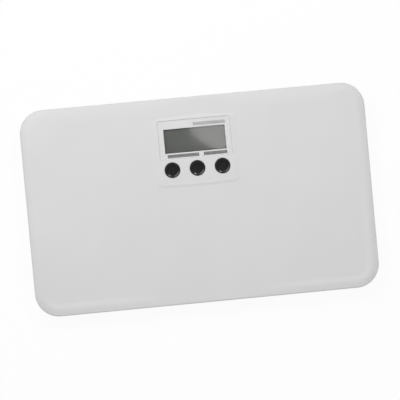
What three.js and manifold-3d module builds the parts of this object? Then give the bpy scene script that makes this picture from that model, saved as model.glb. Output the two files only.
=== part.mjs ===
// A low electronic platform scale for babies, in millimetres, +Z up.
// The origin is on the floor under the middle of the platform. +X runs along the platform's
// long side, and +Y runs towards the edge that carries the display.

import * as THREE from 'three';
import { mergeVertices } from 'three/addons/utils/BufferGeometryUtils.js';
import Module from 'manifold-3d';

const wasm = await Module();
wasm.setup();

// Platform
const platformLength = 550;
const platformWidth = 328;
const cornerRadius = 38;
const deckHeight = 44;
const partingHeight = 24;
const groundClearance = 8;
const topWall = 2.6;
const baseWall = 2.4;
const partingGap = 0.4;

// Clearances
const seatGap = 0.3;
const runningGap = 0.5;
const overrun = 2;
const embed = 0.6;
const weldDistance = 0.00001;

// The top cover's edge, its shoulder and the tray's rim
const edgeRound = 4.5;
const edgeDrop = 9;
const edgePower = 2.4;
const shoulderDrop = 1.2;
const shoulderPower = 2;
const shoulderNarrow = 7;
const shoulderSide = 17;
const shoulderBack = 25;
const shoulderBackRun = 60;
const rimHeight = 1.8;
const rimWidth = 22;
const rimFadeStart = 40;
const rimFadeEnd = 180;
const rimFadeBack = 20;
const rimFadeFront = -80;
const backRimHeight = 0.6;
const backRimStart = 60;
const backRimEnd = 130;
const archHalfWidth = 69;
const archDepth = 21;

// The base cover's underside curve, and the lip that locates the top cover
const flareDepth = 15;
const lipThickness = 1.6;
const lipHeight = 3.4;
const lipRoot = 5;

// Raised display panel: a gentle rise around the cover panel and the keys, long at its sides
const islandSideMargin = 0.7;
const islandFrontMargin = 16.9;
const islandBackInset = 28.5;
const islandRise = 0.9;
const islandSideSlope = 11.8;
const islandEndSlope = 4.4;
const islandBackSagitta = 4.2;
const islandFrontSagitta = 2.4;
const islandFootCorner = 12;
const islandTopCorner = 4;

// Window, and the cover panel with its borders around the window
const windowLength = 97.8;
const windowWidth = 38.4;
const windowMargin = 1.5;
const lensSideBorder = 8.6;
const lensBackBorder = 13.25;
const lensFrontBorder = 9.1;
const lensBackMargin = 7.15;
const lensThickness = 1.2;
const lensCorner = 2;
const lensBed = 0.2;

// Display glass, its frame and its rubber connector
const glassMargin = 2.6;
const glassThickness = 1.1;
const glassLedge = 3;
const frameWall = 3.6;
const frameShelf = 1.4;
const connectorHeight = 5.8;
const connectorThickness = 2.2;
const connectorInset = 5;

// Main board
const boardThickness = 1.6;
const boardSideMargin = 1;
const boardFrontMargin = 5.3;
const boardBackMargin = 1.4;
const boardHoleRadius = 1.7;
const boardHoleInset = 4.6;
const boardBossRadius = 3.4;
const chipSize = 14;
const chipThickness = 1.6;
const chipChamfer = 1.2;

// Keys
const keyRadius = 12.1;
const keyGap = 0.4;
const keySideMargin = 5.45;
const keyLensGap = 5.4;
const keyProud = 1;
const keyTravel = 0.8;
const keyFlangeReach = 1.7;
const keyFlangeThickness = 1.4;
const keyStemRadius = 4;
const keyRimRound = 1.1;
const keyDishDepth = 0.9;
const keyDishInset = 3.2;
const keyDishShares = [[1, 0.67], [0.5, 1], [0, 1]];

// Switches under the keys
const switchSize = 12;
const switchHeight = 3.5;
const switchCollarHeight = 0.5;
const switchCollarRadius = 4.6;
const plungerRadius = 3.3;
const plungerProud = 0.8;
const plungerSunk = 2;
const plungerGap = 0.25;

// Feet
const footInsetX = 50;
const footInsetY = 49;
const padRadius = 16;
const padThickness = 2.5;
const padChamfer = 0.6;
const padSunk = 1.1;
const padGroove = 0.5;
const padGrooveRadius = 8;
const cupRadius = 19;
const cupWall = 2;
const cupRound = 1.2;
const cupFloor = 1.8;
const cupHoleGap = 0.8;
const cupFlangeReach = 2;
const cupFlangeThickness = 1.6;
const cupStudRadius = 4;
const cupStudProud = 0.4;
const footPlay = 0.6;

// Load cells and their retaining caps
const cellSize = 34;
const cellThickness = 2;
const cellCorner = 3;
const cellSlot = 2;
const cellFrame = 5;
const cellNeck = 9;
const cellGaugeLength = 7;
const cellGaugeWidth = 5;
const cellGaugeHeight = 0.8;
const seatRingWall = 2.6;
const capThickness = 1.8;
const capSkirt = 1.4;
const capSkirtDrop = 3;
const capHoleRadius = 8;
const capPadSize = 6;
const leadNotch = 4;

// Batteries and their bay
const batteryRadius = 7.25;
const batteryLength = 50.5;
const batteryCount = 4;
const batteryGap = 0.4;
const batteryNubRadius = 2.75;
const batteryNubHeight = 1;
const batteryRound = 0.7;
const bayCentreY = -40;
const bayWall = 2;
const bayPocket = 7;
const bayPocketRoom = 4.4;
const bayLedge = 3;

// Contacts
const contactThickness = 0.5;
const contactWidth = 12;
const contactHeight = 12;
const contactGap = 0.4;
const contactDimple = 0.5;
const contactDimpleRadius = 3;
const springWire = 0.35;
const springBaseRadius = 4.6;
const springTipRadius = 3;
const springLength = 5.4;
const springCurls = 3;
const springEndRun = 0.7;
const tailWidth = 3;
const tailGap = 0.4;
const tailReach = 2;

// Battery door
const doorThickness = 2;
const doorGap = 0.5;
const tabWidth = 10;
const tabSpacing = 40;
const tabReach = 4.2;
const tabThickness = 1.6;
const tabRiser = 2.4;
const latchWidth = 14;
const latchThickness = 1.4;
const latchHeight = 3.6;
const latchSetback = 1.2;
const latchNib = 1.2;
const scoopWidth = 22;
const scoopLength = 9;
const scoopDepth = 3.2;
const scoopWall = 1.6;
const doorRibHeight = 0.3;
const doorRibWidth = 1.2;
const doorRibCount = 5;
const doorRibLength = 26;
const doorRibPitch = 3;

// Screws and their bosses
const caseScrewInsetX = 25;
const caseScrewInsetY = 34;
const caseScrewSpacing = 300;
const caseScrewRadius = 1.6;
const caseScrewLength = 15;
const caseHeadRadius = 3.3;
const caseHeadHeight = 2.2;
const caseRecessDepth = 7;
const caseRecessGap = 0.9;
const caseSeatWeb = 2.4;
const caseBossWall = 2.2;
const topBossRadius = 5;
const pilotGap = 0.3;
const boardScrewRadius = 1.1;
const boardScrewLength = 7;
const boardHeadRadius = 2.4;
const boardHeadHeight = 1.5;
const driveArm = 0.7;
const driveDepth = 0.9;
const driveShare = 0.67;
const headRoundShare = 0.33;

// Ribs under the deck
const ribThickness = 1.8;
const ribHeight = 5;
const ribEndInset = 20;
const ribIslandGap = 7;
const outerRibShare = 0.7;
const longRibShares = [-0.5, 0];

// Leads inside the case
const leadRadius = 1.2;
const leadRise = 9;
const leadSlack = 0.5;
const leadRunShares = [0.3, 0.65];
const leadMiddleShare = 0.5;
const leadStepsPerPoint = 2;
const leadSides = 8;

// How finely round stretches are divided, as counts, and the rings of the lofted shells, as shares
const fineSides = 20;
const middleSides = 16;
const smallSides = 8;
const cornerSteps = 5;
const arcSteps = 8;
const springSides = 5;
const springStepsPerCurl = 8;
const outlineEndShares = [-1, -0.5, 0, 0.5, 1];
const outlineLongShares = [-1, -0.75, -0.52, -0.34, -0.2, 0, 0.2, 0.34, 0.52, 0.75, 1];
const topRingShares = [0, 0.03, 0.09, 0.18, 0.3, 0.46, 0.7, 1];
const islandRingShares = [0, 0.2, 0.4, 0.6, 0.8, 1];
const baseDepthShares = [0.02, 0.14, 0.45, 1];
const baseHeightShares = [1, 0.5, 0.16, 0];
const innerDepthShares = [0, 0, 0.25, 1];
const innerHeightShares = [0, 0.7, 0.92, 1];

// Heights and places that follow from the sizes
const halfLength = platformLength / 2;
const halfWidth = platformWidth / 2;
const islandTop = deckHeight + islandRise;
const deckInner = deckHeight - topWall;
const lensFloor = islandTop - lensThickness - lensBed;
const glassTop = deckInner - seatGap;
const glassBottom = glassTop - 2 * glassThickness;
const boardTop = glassBottom - connectorHeight;
const boardBottom = boardTop - boardThickness;
const lensLength = windowLength + 2 * lensSideBorder;
const lensWidth = windowWidth + lensBackBorder + lensFrontBorder;
const islandWidth = lensLength + 2 * (islandSideMargin + islandSideSlope);
const islandBack = halfWidth - islandBackInset;
const lensBack = islandBack - lensBackMargin;
const lensY = lensBack - lensWidth / 2;
const windowY = lensBack - lensBackBorder - windowWidth / 2;
const keyY = lensBack - lensWidth - keyLensGap - keyRadius;
const keyPitch = lensLength / 2 - keySideMargin - keyRadius;
const islandFront = keyY - keyRadius - islandFrontMargin;
const boardHalfX = lensLength / 2 + boardSideMargin;
const boardFront = islandFront + boardFrontMargin;
const boardBack = islandBack - boardBackMargin;
const baseInner = groundClearance + baseWall;
const cupFlangeBottom = baseInner + footPlay + seatGap;
const cupFlangeTop = cupFlangeBottom + cupFlangeThickness;
const cellBottom = cupFlangeTop + cupStudProud + seatGap;
const cellTop = cellBottom + cellThickness;
const cellLedge = cellBottom - seatGap;
const capBottom = cellTop + cellGaugeHeight + seatGap;
const seatRingTop = capBottom - seatGap;
const seatBore = cupRadius + cupFlangeReach + runningGap;
const pocketSize = cellSize + 2 * seatGap;
const seatRingRadius = pocketSize / Math.SQRT2 + seatRingWall;
const footX = halfLength - footInsetX;
const footY = halfWidth - footInsetY;
const doorInner = groundClearance + doorThickness;
const batteryBottom = doorInner + 2 * seatGap;
const batteryZ = batteryBottom + batteryRadius;
const bayTop = batteryZ + batteryRadius + seatGap;
const plusRoom = contactGap + contactThickness + contactDimple + seatGap;
const minusRoom = contactGap + contactThickness + springLength + seatGap;
const bayLength = batteryLength + plusRoom + minusRoom;
const batteryPitch = 2 * batteryRadius + batteryGap;
const bayWidth = batteryCount * batteryPitch + batteryGap;
const openingLength = bayLength + 2 * (bayWall + bayPocket);
const openingWidth = bayWidth + 2 * bayLedge;
const pocketTop = baseInner + bayPocketRoom;
const ledgeZ = doorInner + seatGap;
const caseSeat = groundClearance + caseRecessDepth;
const caseBossTop = caseSeat + caseSeatWeb;

const finishes = {
  whiteShell: { color: 0xe9e8e5, roughness: 0.42, metalness: 0 },
  blackKey: { color: 0x1b1b1d, roughness: 0.35, metalness: 0 },
  coverPanel: { color: 0xe4e6e6, roughness: 0.1, metalness: 0 },
  displayGlass: { color: 0x6e7370, roughness: 0.15, metalness: 0 },
  innerPlastic: { color: 0xc9c9c4, roughness: 0.6, metalness: 0 },
  boardGreen: { color: 0x2f6b3f, roughness: 0.5, metalness: 0 },
  chipBlack: { color: 0x202020, roughness: 0.6, metalness: 0 },
  rubberGrey: { color: 0x4a4a4c, roughness: 0.9, metalness: 0 },
  steel: { color: 0xb4b6b8, roughness: 0.35, metalness: 1 },
  batteryJacket: { color: 0x4c5c6b, roughness: 0.35, metalness: 0.3 },
  leadRed: { color: 0xa02a24, roughness: 0.6, metalness: 0 },
  leadBlack: { color: 0x252525, roughness: 0.6, metalness: 0 },
};

const scale = new THREE.Group();

// A geometry with only positions, shared corners merged, collapsed faces dropped and faces pointing out
function tidyGeometry(geometry) {
  const bare = geometry.clone();
  bare.deleteAttribute('normal');
  bare.deleteAttribute('uv');
  const merged = mergeVertices(bare, weldDistance);
  const position = merged.attributes.position;
  const kept = [];
  const corners = [new THREE.Vector3(), new THREE.Vector3(), new THREE.Vector3()];
  let volume = 0;
  for (let face = 0; face < merged.index.count; face += corners.length) {
    const ids = corners.map((corner, side) => merged.index.getX(face + side));
    if (new Set(ids).size < corners.length) continue;
    ids.forEach((id, side) => corners[side].fromBufferAttribute(position, id));
    volume += corners[0].dot(corners[1].clone().cross(corners[2]));
    kept.push(ids);
  }
  const outward = volume < 0 ? kept.map(([a, b, c]) => [a, c, b]) : kept;
  merged.setIndex(outward.flat());
  return merged;
}

function solidOf(geometry) {
  const tidy = tidyGeometry(geometry);
  return new wasm.Manifold(new wasm.Mesh({
    numProp: 3,
    vertProperties: new Float32Array(tidy.attributes.position.array),
    triVerts: new Uint32Array(tidy.index.array),
  }));
}

function geometryOf(solid) {
  const mesh = solid.getMesh();
  const geometry = new THREE.BufferGeometry();
  geometry.setAttribute('position', new THREE.BufferAttribute(new Float32Array(mesh.vertProperties), 3));
  geometry.setIndex(new THREE.BufferAttribute(new Uint32Array(mesh.triVerts), 1));
  return geometry;
}

function place(name, geometry, finish) {
  const flat = geometry.toNonIndexed();
  flat.computeVertexNormals();
  const material = new THREE.MeshStandardMaterial({ ...finishes[finish], flatShading: true });
  const mesh = new THREE.Mesh(flat, material);
  mesh.name = name;
  scale.add(mesh);
}

function placeSolid(name, solid, finish) {
  place(name, geometryOf(solid), finish);
}

function block(x0, x1, y0, y1, z0, z1) {
  const geometry = new THREE.BoxGeometry(x1 - x0, y1 - y0, z1 - z0);
  return solidOf(geometry.translate((x0 + x1) / 2, (y0 + y1) / 2, (z0 + z1) / 2));
}

// A block given by its middle and its size in plan
function blockAt(x, y, sizeX, sizeY, z0, z1) {
  return block(x - sizeX / 2, x + sizeX / 2, y - sizeY / 2, y + sizeY / 2, z0, z1);
}

function disc(x, y, radius, z0, z1, sides = middleSides) {
  const geometry = new THREE.CylinderGeometry(radius, radius, z1 - z0, sides);
  return solidOf(geometry.rotateX(Math.PI / 2).translate(x, y, (z0 + z1) / 2));
}

// A turned body about an upright axis, from points of radius and height
function turned(x, y, points, sides = middleSides) {
  const profile = points.map(([radius, height]) => new THREE.Vector2(radius, height));
  const geometry = new THREE.LatheGeometry(profile, sides);
  return tidyGeometry(geometry.rotateX(Math.PI / 2).translate(x, y, 0));
}

function roundedRectangle(sizeX, sizeY, radius) {
  const shape = new THREE.Shape();
  const x = sizeX / 2 - radius;
  const y = sizeY / 2 - radius;
  const quarter = Math.PI / 2;
  shape.absarc(x, y, radius, 0, quarter);
  shape.absarc(-x, y, radius, quarter, 2 * quarter);
  shape.absarc(-x, -y, radius, 2 * quarter, 3 * quarter);
  shape.absarc(x, -y, radius, 3 * quarter, 4 * quarter);
  return shape;
}

function prism(shape, x, y, z0, z1, steps = 3) {
  const depth = z1 - z0;
  const geometry = new THREE.ExtrudeGeometry(shape, { depth, bevelEnabled: false, curveSegments: steps });
  return solidOf(geometry.translate(x, y, z0));
}

// A body skinned over closed rings with equally many points, shut by a flat fan at each end
function loft(rings) {
  const count = rings[0].length;
  const points = rings.flat();
  const index = [];
  for (let ring = 0; ring + 1 < rings.length; ring += 1) {
    for (let side = 0; side < count; side += 1) {
      const next = (side + 1) % count;
      const low = ring * count;
      const high = low + count;
      index.push(low + side, low + next, high + next, low + side, high + next, high + side);
    }
  }
  [rings[0], rings[rings.length - 1]].forEach((ring, end) => {
    const centre = [0, 1, 2].map((axis) => ring.reduce((sum, point) => sum + point[axis], 0) / count);
    const hub = points.push(centre) - 1;
    const first = end === 0 ? 0 : (rings.length - 1) * count;
    for (let side = 0; side < count; side += 1) {
      const next = (side + 1) % count;
      const pair = end === 0 ? [first + next, first + side] : [first + side, first + next];
      index.push(hub, ...pair);
    }
  });
  const geometry = new THREE.BufferGeometry();
  geometry.setAttribute('position', new THREE.Float32BufferAttribute(points.flat(), 3));
  geometry.setIndex(index);
  return geometry;
}

// A round tube along a list of points, shut at both ends, with no twist between its sections
function tube(points, radius, sides) {
  const tangents = points.map((point, step) => {
    const before = points[Math.max(step - 1, 0)];
    const after = points[Math.min(step + 1, points.length - 1)];
    return after.clone().sub(before).normalize();
  });
  const upright = new THREE.Vector3(0, 0, 1);
  const sideways = new THREE.Vector3(1, 0, 0);
  const start = Math.abs(tangents[0].dot(upright)) < Math.SQRT1_2 ? upright : sideways;
  let across = start.clone().cross(tangents[0]).normalize();
  const rings = points.map((point, step) => {
    across = across.clone().addScaledVector(tangents[step], -across.dot(tangents[step])).normalize();
    const over = tangents[step].clone().cross(across);
    return Array.from({ length: sides }, (unused, side) => {
      const angle = 2 * Math.PI * side / sides;
      return point.clone()
        .addScaledVector(across, radius * Math.cos(angle))
        .addScaledVector(over, radius * Math.sin(angle))
        .toArray();
    });
  });
  return tidyGeometry(loft(rings));
}

function smooth(from, to, value) {
  const share = THREE.MathUtils.clamp((value - from) / (to - from), 0, 1);
  return share * share * (3 - 2 * share);
}

// The platform's outline, anticlockwise, as points on its edge with their outward directions
function outline() {
  const runX = halfLength - cornerRadius;
  const runY = halfWidth - cornerRadius;
  const sides = [
    {
      shares: outlineEndShares,
      at: (share) => [halfLength, runY * share],
      out: [1, 0],
      turn: [runX, runY, 0],
    },
    {
      shares: outlineLongShares,
      at: (share) => [-runX * share, halfWidth],
      out: [0, 1],
      turn: [-runX, runY, 1],
    },
    {
      shares: [...outlineEndShares].reverse(),
      at: (share) => [-halfLength, runY * share],
      out: [-1, 0],
      turn: [-runX, -runY, 2],
    },
    {
      shares: outlineLongShares,
      at: (share) => [runX * share, -halfWidth],
      out: [0, -1],
      turn: [runX, -runY, 3],
    },
  ];
  return sides.flatMap(({ shares, at, out, turn }) => {
    const straight = shares.map((share) => [...at(share), ...out]);
    const corner = Array.from({ length: cornerSteps - 1 }, (unused, step) => {
      const angle = (turn[2] + (step + 1) / cornerSteps) * Math.PI / 2;
      const across = Math.cos(angle);
      const along = Math.sin(angle);
      return [turn[0] + cornerRadius * across, turn[1] + cornerRadius * along, across, along];
    });
    return [...straight, ...corner];
  });
}

const edgePoints = outline();

// The outline drawn in by a depth, at a height or at one that follows the place
function ring(depth, height) {
  return edgePoints.map(([x, y, outX, outY]) => {
    const z = typeof height === 'function' ? height(x, y, depth) : height;
    return [x - outX * depth, y - outY * depth, z];
  });
}

// How wide the shoulder is at a point of the edge: it narrows at the middle of the front and in an
// arch behind the display
function shoulderWidth(x, y) {
  if (y < 0) {
    const outward = smooth(rimFadeStart, rimFadeEnd, Math.abs(x));
    return THREE.MathUtils.lerp(shoulderNarrow, shoulderSide, outward);
  }
  const arch = shoulderNarrow + (archDepth - shoulderNarrow) * (x / archHalfWidth) ** 2;
  const backward = smooth(halfWidth - shoulderBackRun, halfWidth, y);
  return Math.min(arch, THREE.MathUtils.lerp(shoulderSide, shoulderBack, backward));
}

// How high the tray's rim stands at a point of the edge: full at the front corners, none at the middles
function rimRise(x, y) {
  const front = smooth(rimFadeStart, rimFadeEnd, Math.abs(x)) * smooth(rimFadeBack, rimFadeFront, y);
  const back = smooth(rimFadeEnd, halfLength, Math.abs(x)) * smooth(backRimStart, backRimEnd, y);
  return rimHeight * front + backRimHeight * back;
}

function deckSurface(x, y, depth) {
  const edge = edgeDrop * Math.max(0, 1 - depth / edgeRound) ** edgePower;
  const shoulder = shoulderDrop * Math.max(0, 1 - depth / shoulderWidth(x, y)) ** shoulderPower;
  const rim = depth < rimWidth ? rimRise(x, y) * Math.sin(Math.PI * depth / rimWidth) ** 2 : 0;
  return deckHeight - edge - shoulder + rim;
}

// The inside of a cover: drawn in by its wall, closing over a flat ceiling or floor
function hollow(wall, mouth, end, depth) {
  return solidOf(loft(innerDepthShares.map((share, step) => (
    ring(wall + depth * share, THREE.MathUtils.lerp(mouth, end, innerHeightShares[step]))
  ))));
}

// The display panel's outline at a share of its slope, from the foot: straight sides, round corners
// and a shallow curve at its back and front
function islandShape(share) {
  const half = islandWidth / 2 - islandSideSlope * share;
  const back = islandBack - islandEndSlope * share;
  const front = islandFront + islandEndSlope * share;
  const corner = THREE.MathUtils.lerp(islandFootCorner, islandTopCorner, share);
  const bow = (x) => (2 * x / islandWidth) ** 2;
  const points = [];
  const curve = (from, to, y, sagitta) => {
    for (let step = 0; step <= arcSteps; step += 1) {
      const x = THREE.MathUtils.lerp(from, to, step / arcSteps);
      points.push([x, y - sagitta * bow(x)]);
    }
  };
  const bend = (x, y, start) => {
    for (let step = 1; step < arcSteps / 2; step += 1) {
      const angle = start + Math.PI * step / arcSteps;
      points.push([x + corner * Math.cos(angle), y + corner * Math.sin(angle)]);
    }
  };
  const reach = half - corner;
  const backSide = back - islandBackSagitta * bow(reach) - corner;
  const frontSide = front + islandFrontSagitta * bow(reach) + corner;
  points.push([half, frontSide], [half, backSide]);
  bend(reach, backSide, 0);
  curve(reach, -reach, back, islandBackSagitta);
  bend(-reach, backSide, Math.PI / 2);
  points.push([-half, backSide], [-half, frontSide]);
  bend(-reach, frontSide, Math.PI);
  curve(-reach, reach, front, -islandFrontSagitta);
  bend(reach, frontSide, 3 * Math.PI / 2);
  return points;
}

function islandRing(share, z) {
  return islandShape(share).map(([x, y]) => [x, y, z]);
}

const keys = [['left', -keyPitch], ['middle', 0], ['right', keyPitch]];
const corners = [['front_left', -1, -1], ['front_right', 1, -1], ['back_left', -1, 1], ['back_right', 1, 1]];
const boardHoles = [
  [-boardHalfX + boardHoleInset, boardFront + boardHoleInset],
  [boardHalfX - boardHoleInset, boardFront + boardHoleInset],
  [-boardHalfX + boardHoleInset, boardBack - boardHoleInset],
  [boardHalfX - boardHoleInset, boardBack - boardHoleInset],
];
const caseScrews = [
  [-halfLength + caseScrewInsetX, 0],
  [halfLength - caseScrewInsetX, 0],
  [-caseScrewSpacing / 2, -halfWidth + caseScrewInsetY],
  [caseScrewSpacing / 2, -halfWidth + caseScrewInsetY],
  [-caseScrewSpacing / 2, halfWidth - caseScrewInsetY],
  [caseScrewSpacing / 2, halfWidth - caseScrewInsetY],
];

function buildTopCover() {
  const flatInset = Math.max(shoulderBack, rimWidth);
  const skin = topRingShares.map((share) => ring(flatInset * share, deckSurface));
  let cover = solidOf(loft([ring(0, partingHeight), ...skin]));
  cover = cover.subtract(hollow(topWall, partingHeight - overrun, deckInner, edgeRound));
  cover = cover.add(solidOf(loft([
    islandRing(0, deckInner + embed),
    ...islandRingShares.map((share) => islandRing(share, deckHeight + islandRise * smooth(0, 1, share))),
  ])));
  const outerRib = halfLength * outerRibShare;
  const innerRib = islandWidth / 2 + ribIslandGap;
  [-outerRib, -innerRib, innerRib, outerRib].forEach((x) => {
    const reach = halfWidth - ribEndInset;
    cover = cover.add(block(
      x - ribThickness / 2, x + ribThickness / 2, -reach, reach, deckInner - ribHeight, deckInner + embed,
    ));
  });
  longRibShares.forEach((share) => {
    const y = halfWidth * share;
    const reach = halfLength - ribEndInset;
    cover = cover.add(block(
      -reach, reach, y - ribThickness / 2, y + ribThickness / 2, deckInner - ribHeight, deckInner + embed,
    ));
  });
  const lensSeat = roundedRectangle(lensLength + 2 * seatGap, lensWidth + 2 * seatGap, lensCorner);
  cover = cover.subtract(prism(lensSeat, 0, lensY, lensFloor, islandTop + overrun));
  const sight = roundedRectangle(windowLength + windowMargin, windowWidth + windowMargin, lensCorner);
  cover = cover.subtract(prism(sight, 0, windowY, deckInner - overrun, lensFloor + overrun));
  keys.forEach(([, x]) => {
    const bore = keyRadius + keyGap;
    cover = cover.subtract(disc(x, keyY, bore, deckInner - overrun, islandTop + overrun, fineSides));
  });
  boardHoles.forEach(([x, y]) => {
    const pilot = boardScrewRadius + pilotGap;
    const pilotTop = boardBottom - seatGap + boardScrewLength;
    cover = cover
      .add(disc(x, y, boardBossRadius, boardTop + seatGap, deckInner + embed, smallSides))
      .subtract(disc(x, y, pilot, boardTop - overrun, pilotTop, smallSides));
  });
  caseScrews.forEach(([x, y]) => {
    cover = cover.add(disc(x, y, topBossRadius, caseBossTop + seatGap, deckInner + embed, smallSides));
    cover = cover.subtract(disc(
      x, y, caseScrewRadius + pilotGap, caseBossTop - overrun, caseSeat + caseScrewLength, smallSides,
    ));
  });
  placeSolid('top_cover', cover, 'whiteShell');
}

function baseShell() {
  const rise = partingHeight - partingGap - groundClearance;
  const skin = baseDepthShares.map((share, step) => (
    ring(flareDepth * share, groundClearance + rise * baseHeightShares[step])
  ));
  const cavity = baseDepthShares.map((share, step) => (
    ring(baseWall + flareDepth * share, baseInner + (rise + overrun) * baseHeightShares[step])
  ));
  return solidOf(loft(skin)).subtract(solidOf(loft(cavity)));
}

function baseLip() {
  const outside = topWall + seatGap;
  const bottom = partingHeight - partingGap - lipRoot;
  const top = partingHeight + lipHeight;
  const body = solidOf(loft([ring(outside, bottom), ring(outside, top)]));
  const inside = outside + lipThickness;
  const bore = solidOf(loft([ring(inside, bottom - overrun), ring(inside, top + overrun)]));
  return body.subtract(bore);
}

// The ring that a foot's load cell sits in, and the hole that the foot comes through
function addCellSeat(base, x, y, inward) {
  const ringRoot = baseInner - embed;
  const seat = base
    .add(disc(x, y, seatRingRadius, ringRoot, seatRingTop))
    .subtract(disc(x, y, seatBore, baseInner, cellLedge))
    .subtract(blockAt(x, y, pocketSize, pocketSize, cellLedge, seatRingTop + overrun))
    .subtract(disc(x, y, cupRadius + cupHoleGap, groundClearance - overrun, baseInner + overrun));
  const reach = seatRingRadius + overrun;
  const notchX = x + inward * reach / 2;
  return seat.subtract(blockAt(notchX, y, reach, leadNotch, cellLedge, seatRingTop + overrun));
}

// The battery bay: a box for the cells, a pocket for the door's tabs, one for its latch and a finger scoop
function addBay(base) {
  const outerX = bayWidth / 2 + bayWall;
  const outerY = bayLength / 2 + bayWall;
  const openX = openingWidth / 2;
  const openY = openingLength / 2;
  const root = baseInner - embed;
  const tabRoom = tabWidth + 2 * runningGap;
  const latchRoom = latchWidth + 2 * runningGap;
  const tabBack = bayCentreY - openY - tabReach - doorGap;
  const latchBack = bayCentreY + openY;
  const scoopBack = latchBack + scoopLength;
  const scoopTop = groundClearance + scoopDepth;
  let body = base
    .add(blockAt(0, bayCentreY, 2 * (openX + bayWall), 2 * (openY + bayWall), root, baseInner + bayWall))
    .add(blockAt(0, bayCentreY, 2 * outerX, 2 * outerY, root, bayTop + bayWall))
    .add(block(
      -latchRoom / 2 - bayWall, latchRoom / 2 + bayWall, bayCentreY + outerY - embed, latchBack + bayWall,
      root, pocketTop + bayWall,
    ))
    .add(block(
      -scoopWidth / 2 - scoopWall, scoopWidth / 2 + scoopWall, latchBack, scoopBack + scoopWall,
      root, scoopTop + scoopWall,
    ));
  const tabPlaces = [-tabSpacing / 2, tabSpacing / 2];
  tabPlaces.forEach((x) => {
    body = body.add(block(
      x - tabRoom / 2 - bayWall, x + tabRoom / 2 + bayWall, tabBack - bayWall, bayCentreY - outerY + embed,
      root, pocketTop + bayWall,
    ));
  });
  body = body
    .subtract(blockAt(0, bayCentreY, openingWidth, openingLength, groundClearance - overrun, ledgeZ))
    .subtract(blockAt(0, bayCentreY, bayWidth, bayLength, groundClearance - overrun, bayTop))
    .subtract(block(-latchRoom / 2, latchRoom / 2, bayCentreY + outerY, latchBack, ledgeZ - embed, pocketTop))
    .subtract(block(
      -scoopWidth / 2, scoopWidth / 2, latchBack - embed, scoopBack, groundClearance - overrun, scoopTop,
    ));
  tabPlaces.forEach((x) => {
    const left = x - tabRoom / 2;
    const right = x + tabRoom / 2;
    const front = bayCentreY - openY;
    body = body
      .subtract(block(left, right, front - embed, bayCentreY - outerY, ledgeZ - embed, pocketTop))
      .subtract(block(left, right, tabBack, front + embed, baseInner, pocketTop));
  });
  [batteryX(0), batteryX(batteryCount - 1)].forEach((x) => {
    body = body.subtract(block(
      x - tailWidth / 2 - tailGap, x + tailWidth / 2 + tailGap,
      bayCentreY + bayLength / 2 - embed, bayCentreY + outerY + overrun,
      batteryZ - contactThickness / 2 - tailGap, batteryZ + contactThickness / 2 + tailGap,
    ));
  });
  return body;
}

function buildBaseCover() {
  let base = baseShell().add(baseLip());
  corners.forEach(([, sideX, sideY]) => {
    base = addCellSeat(base, sideX * footX, sideY * footY, -sideX);
  });
  base = addBay(base);
  const recess = caseHeadRadius + caseRecessGap;
  caseScrews.forEach(([x, y]) => {
    base = base
      .add(disc(x, y, recess + caseBossWall, baseInner - embed, caseBossTop, middleSides))
      .subtract(disc(x, y, recess, groundClearance - overrun, caseSeat, middleSides))
      .subtract(disc(x, y, caseScrewRadius + pilotGap, groundClearance, caseBossTop + overrun, smallSides));
  });
  placeSolid('base_cover', base, 'whiteShell');
}

// A pan head screw with a cross drive, its head down and its shank up, from the height under its head
function screw(name, x, y, seat, radius, length, headRadius, headHeight) {
  const rounded = headHeight * headRoundShare;
  const low = seat - headHeight;
  const body = solidOf(turned(x, y, [
    [0, low],
    [headRadius - rounded, low],
    [headRadius, low + rounded],
    [headRadius, seat],
    [radius, seat],
    [radius, seat + length - radius],
    [0, seat + length],
  ], smallSides));
  const arm = headRadius * driveShare;
  const long = blockAt(x, y, 2 * arm, driveArm, low - overrun, low + driveDepth);
  const cross = blockAt(x, y, driveArm, 2 * arm, low - overrun, low + driveDepth);
  placeSolid(name, body.subtract(long.add(cross)), 'steel');
}

function buildScrews() {
  caseScrews.forEach(([x, y], count) => {
    const shank = caseScrewLength - pilotGap;
    const seat = caseSeat - seatGap;
    screw(`case_screw_${count + 1}`, x, y, seat, caseScrewRadius, shank, caseHeadRadius, caseHeadHeight);
  });
  boardHoles.forEach(([x, y], count) => {
    const shank = boardScrewLength - pilotGap;
    const seat = boardBottom - seatGap;
    screw(`board_screw_${count + 1}`, x, y, seat, boardScrewRadius, shank, boardHeadRadius, boardHeadHeight);
  });
}

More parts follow.
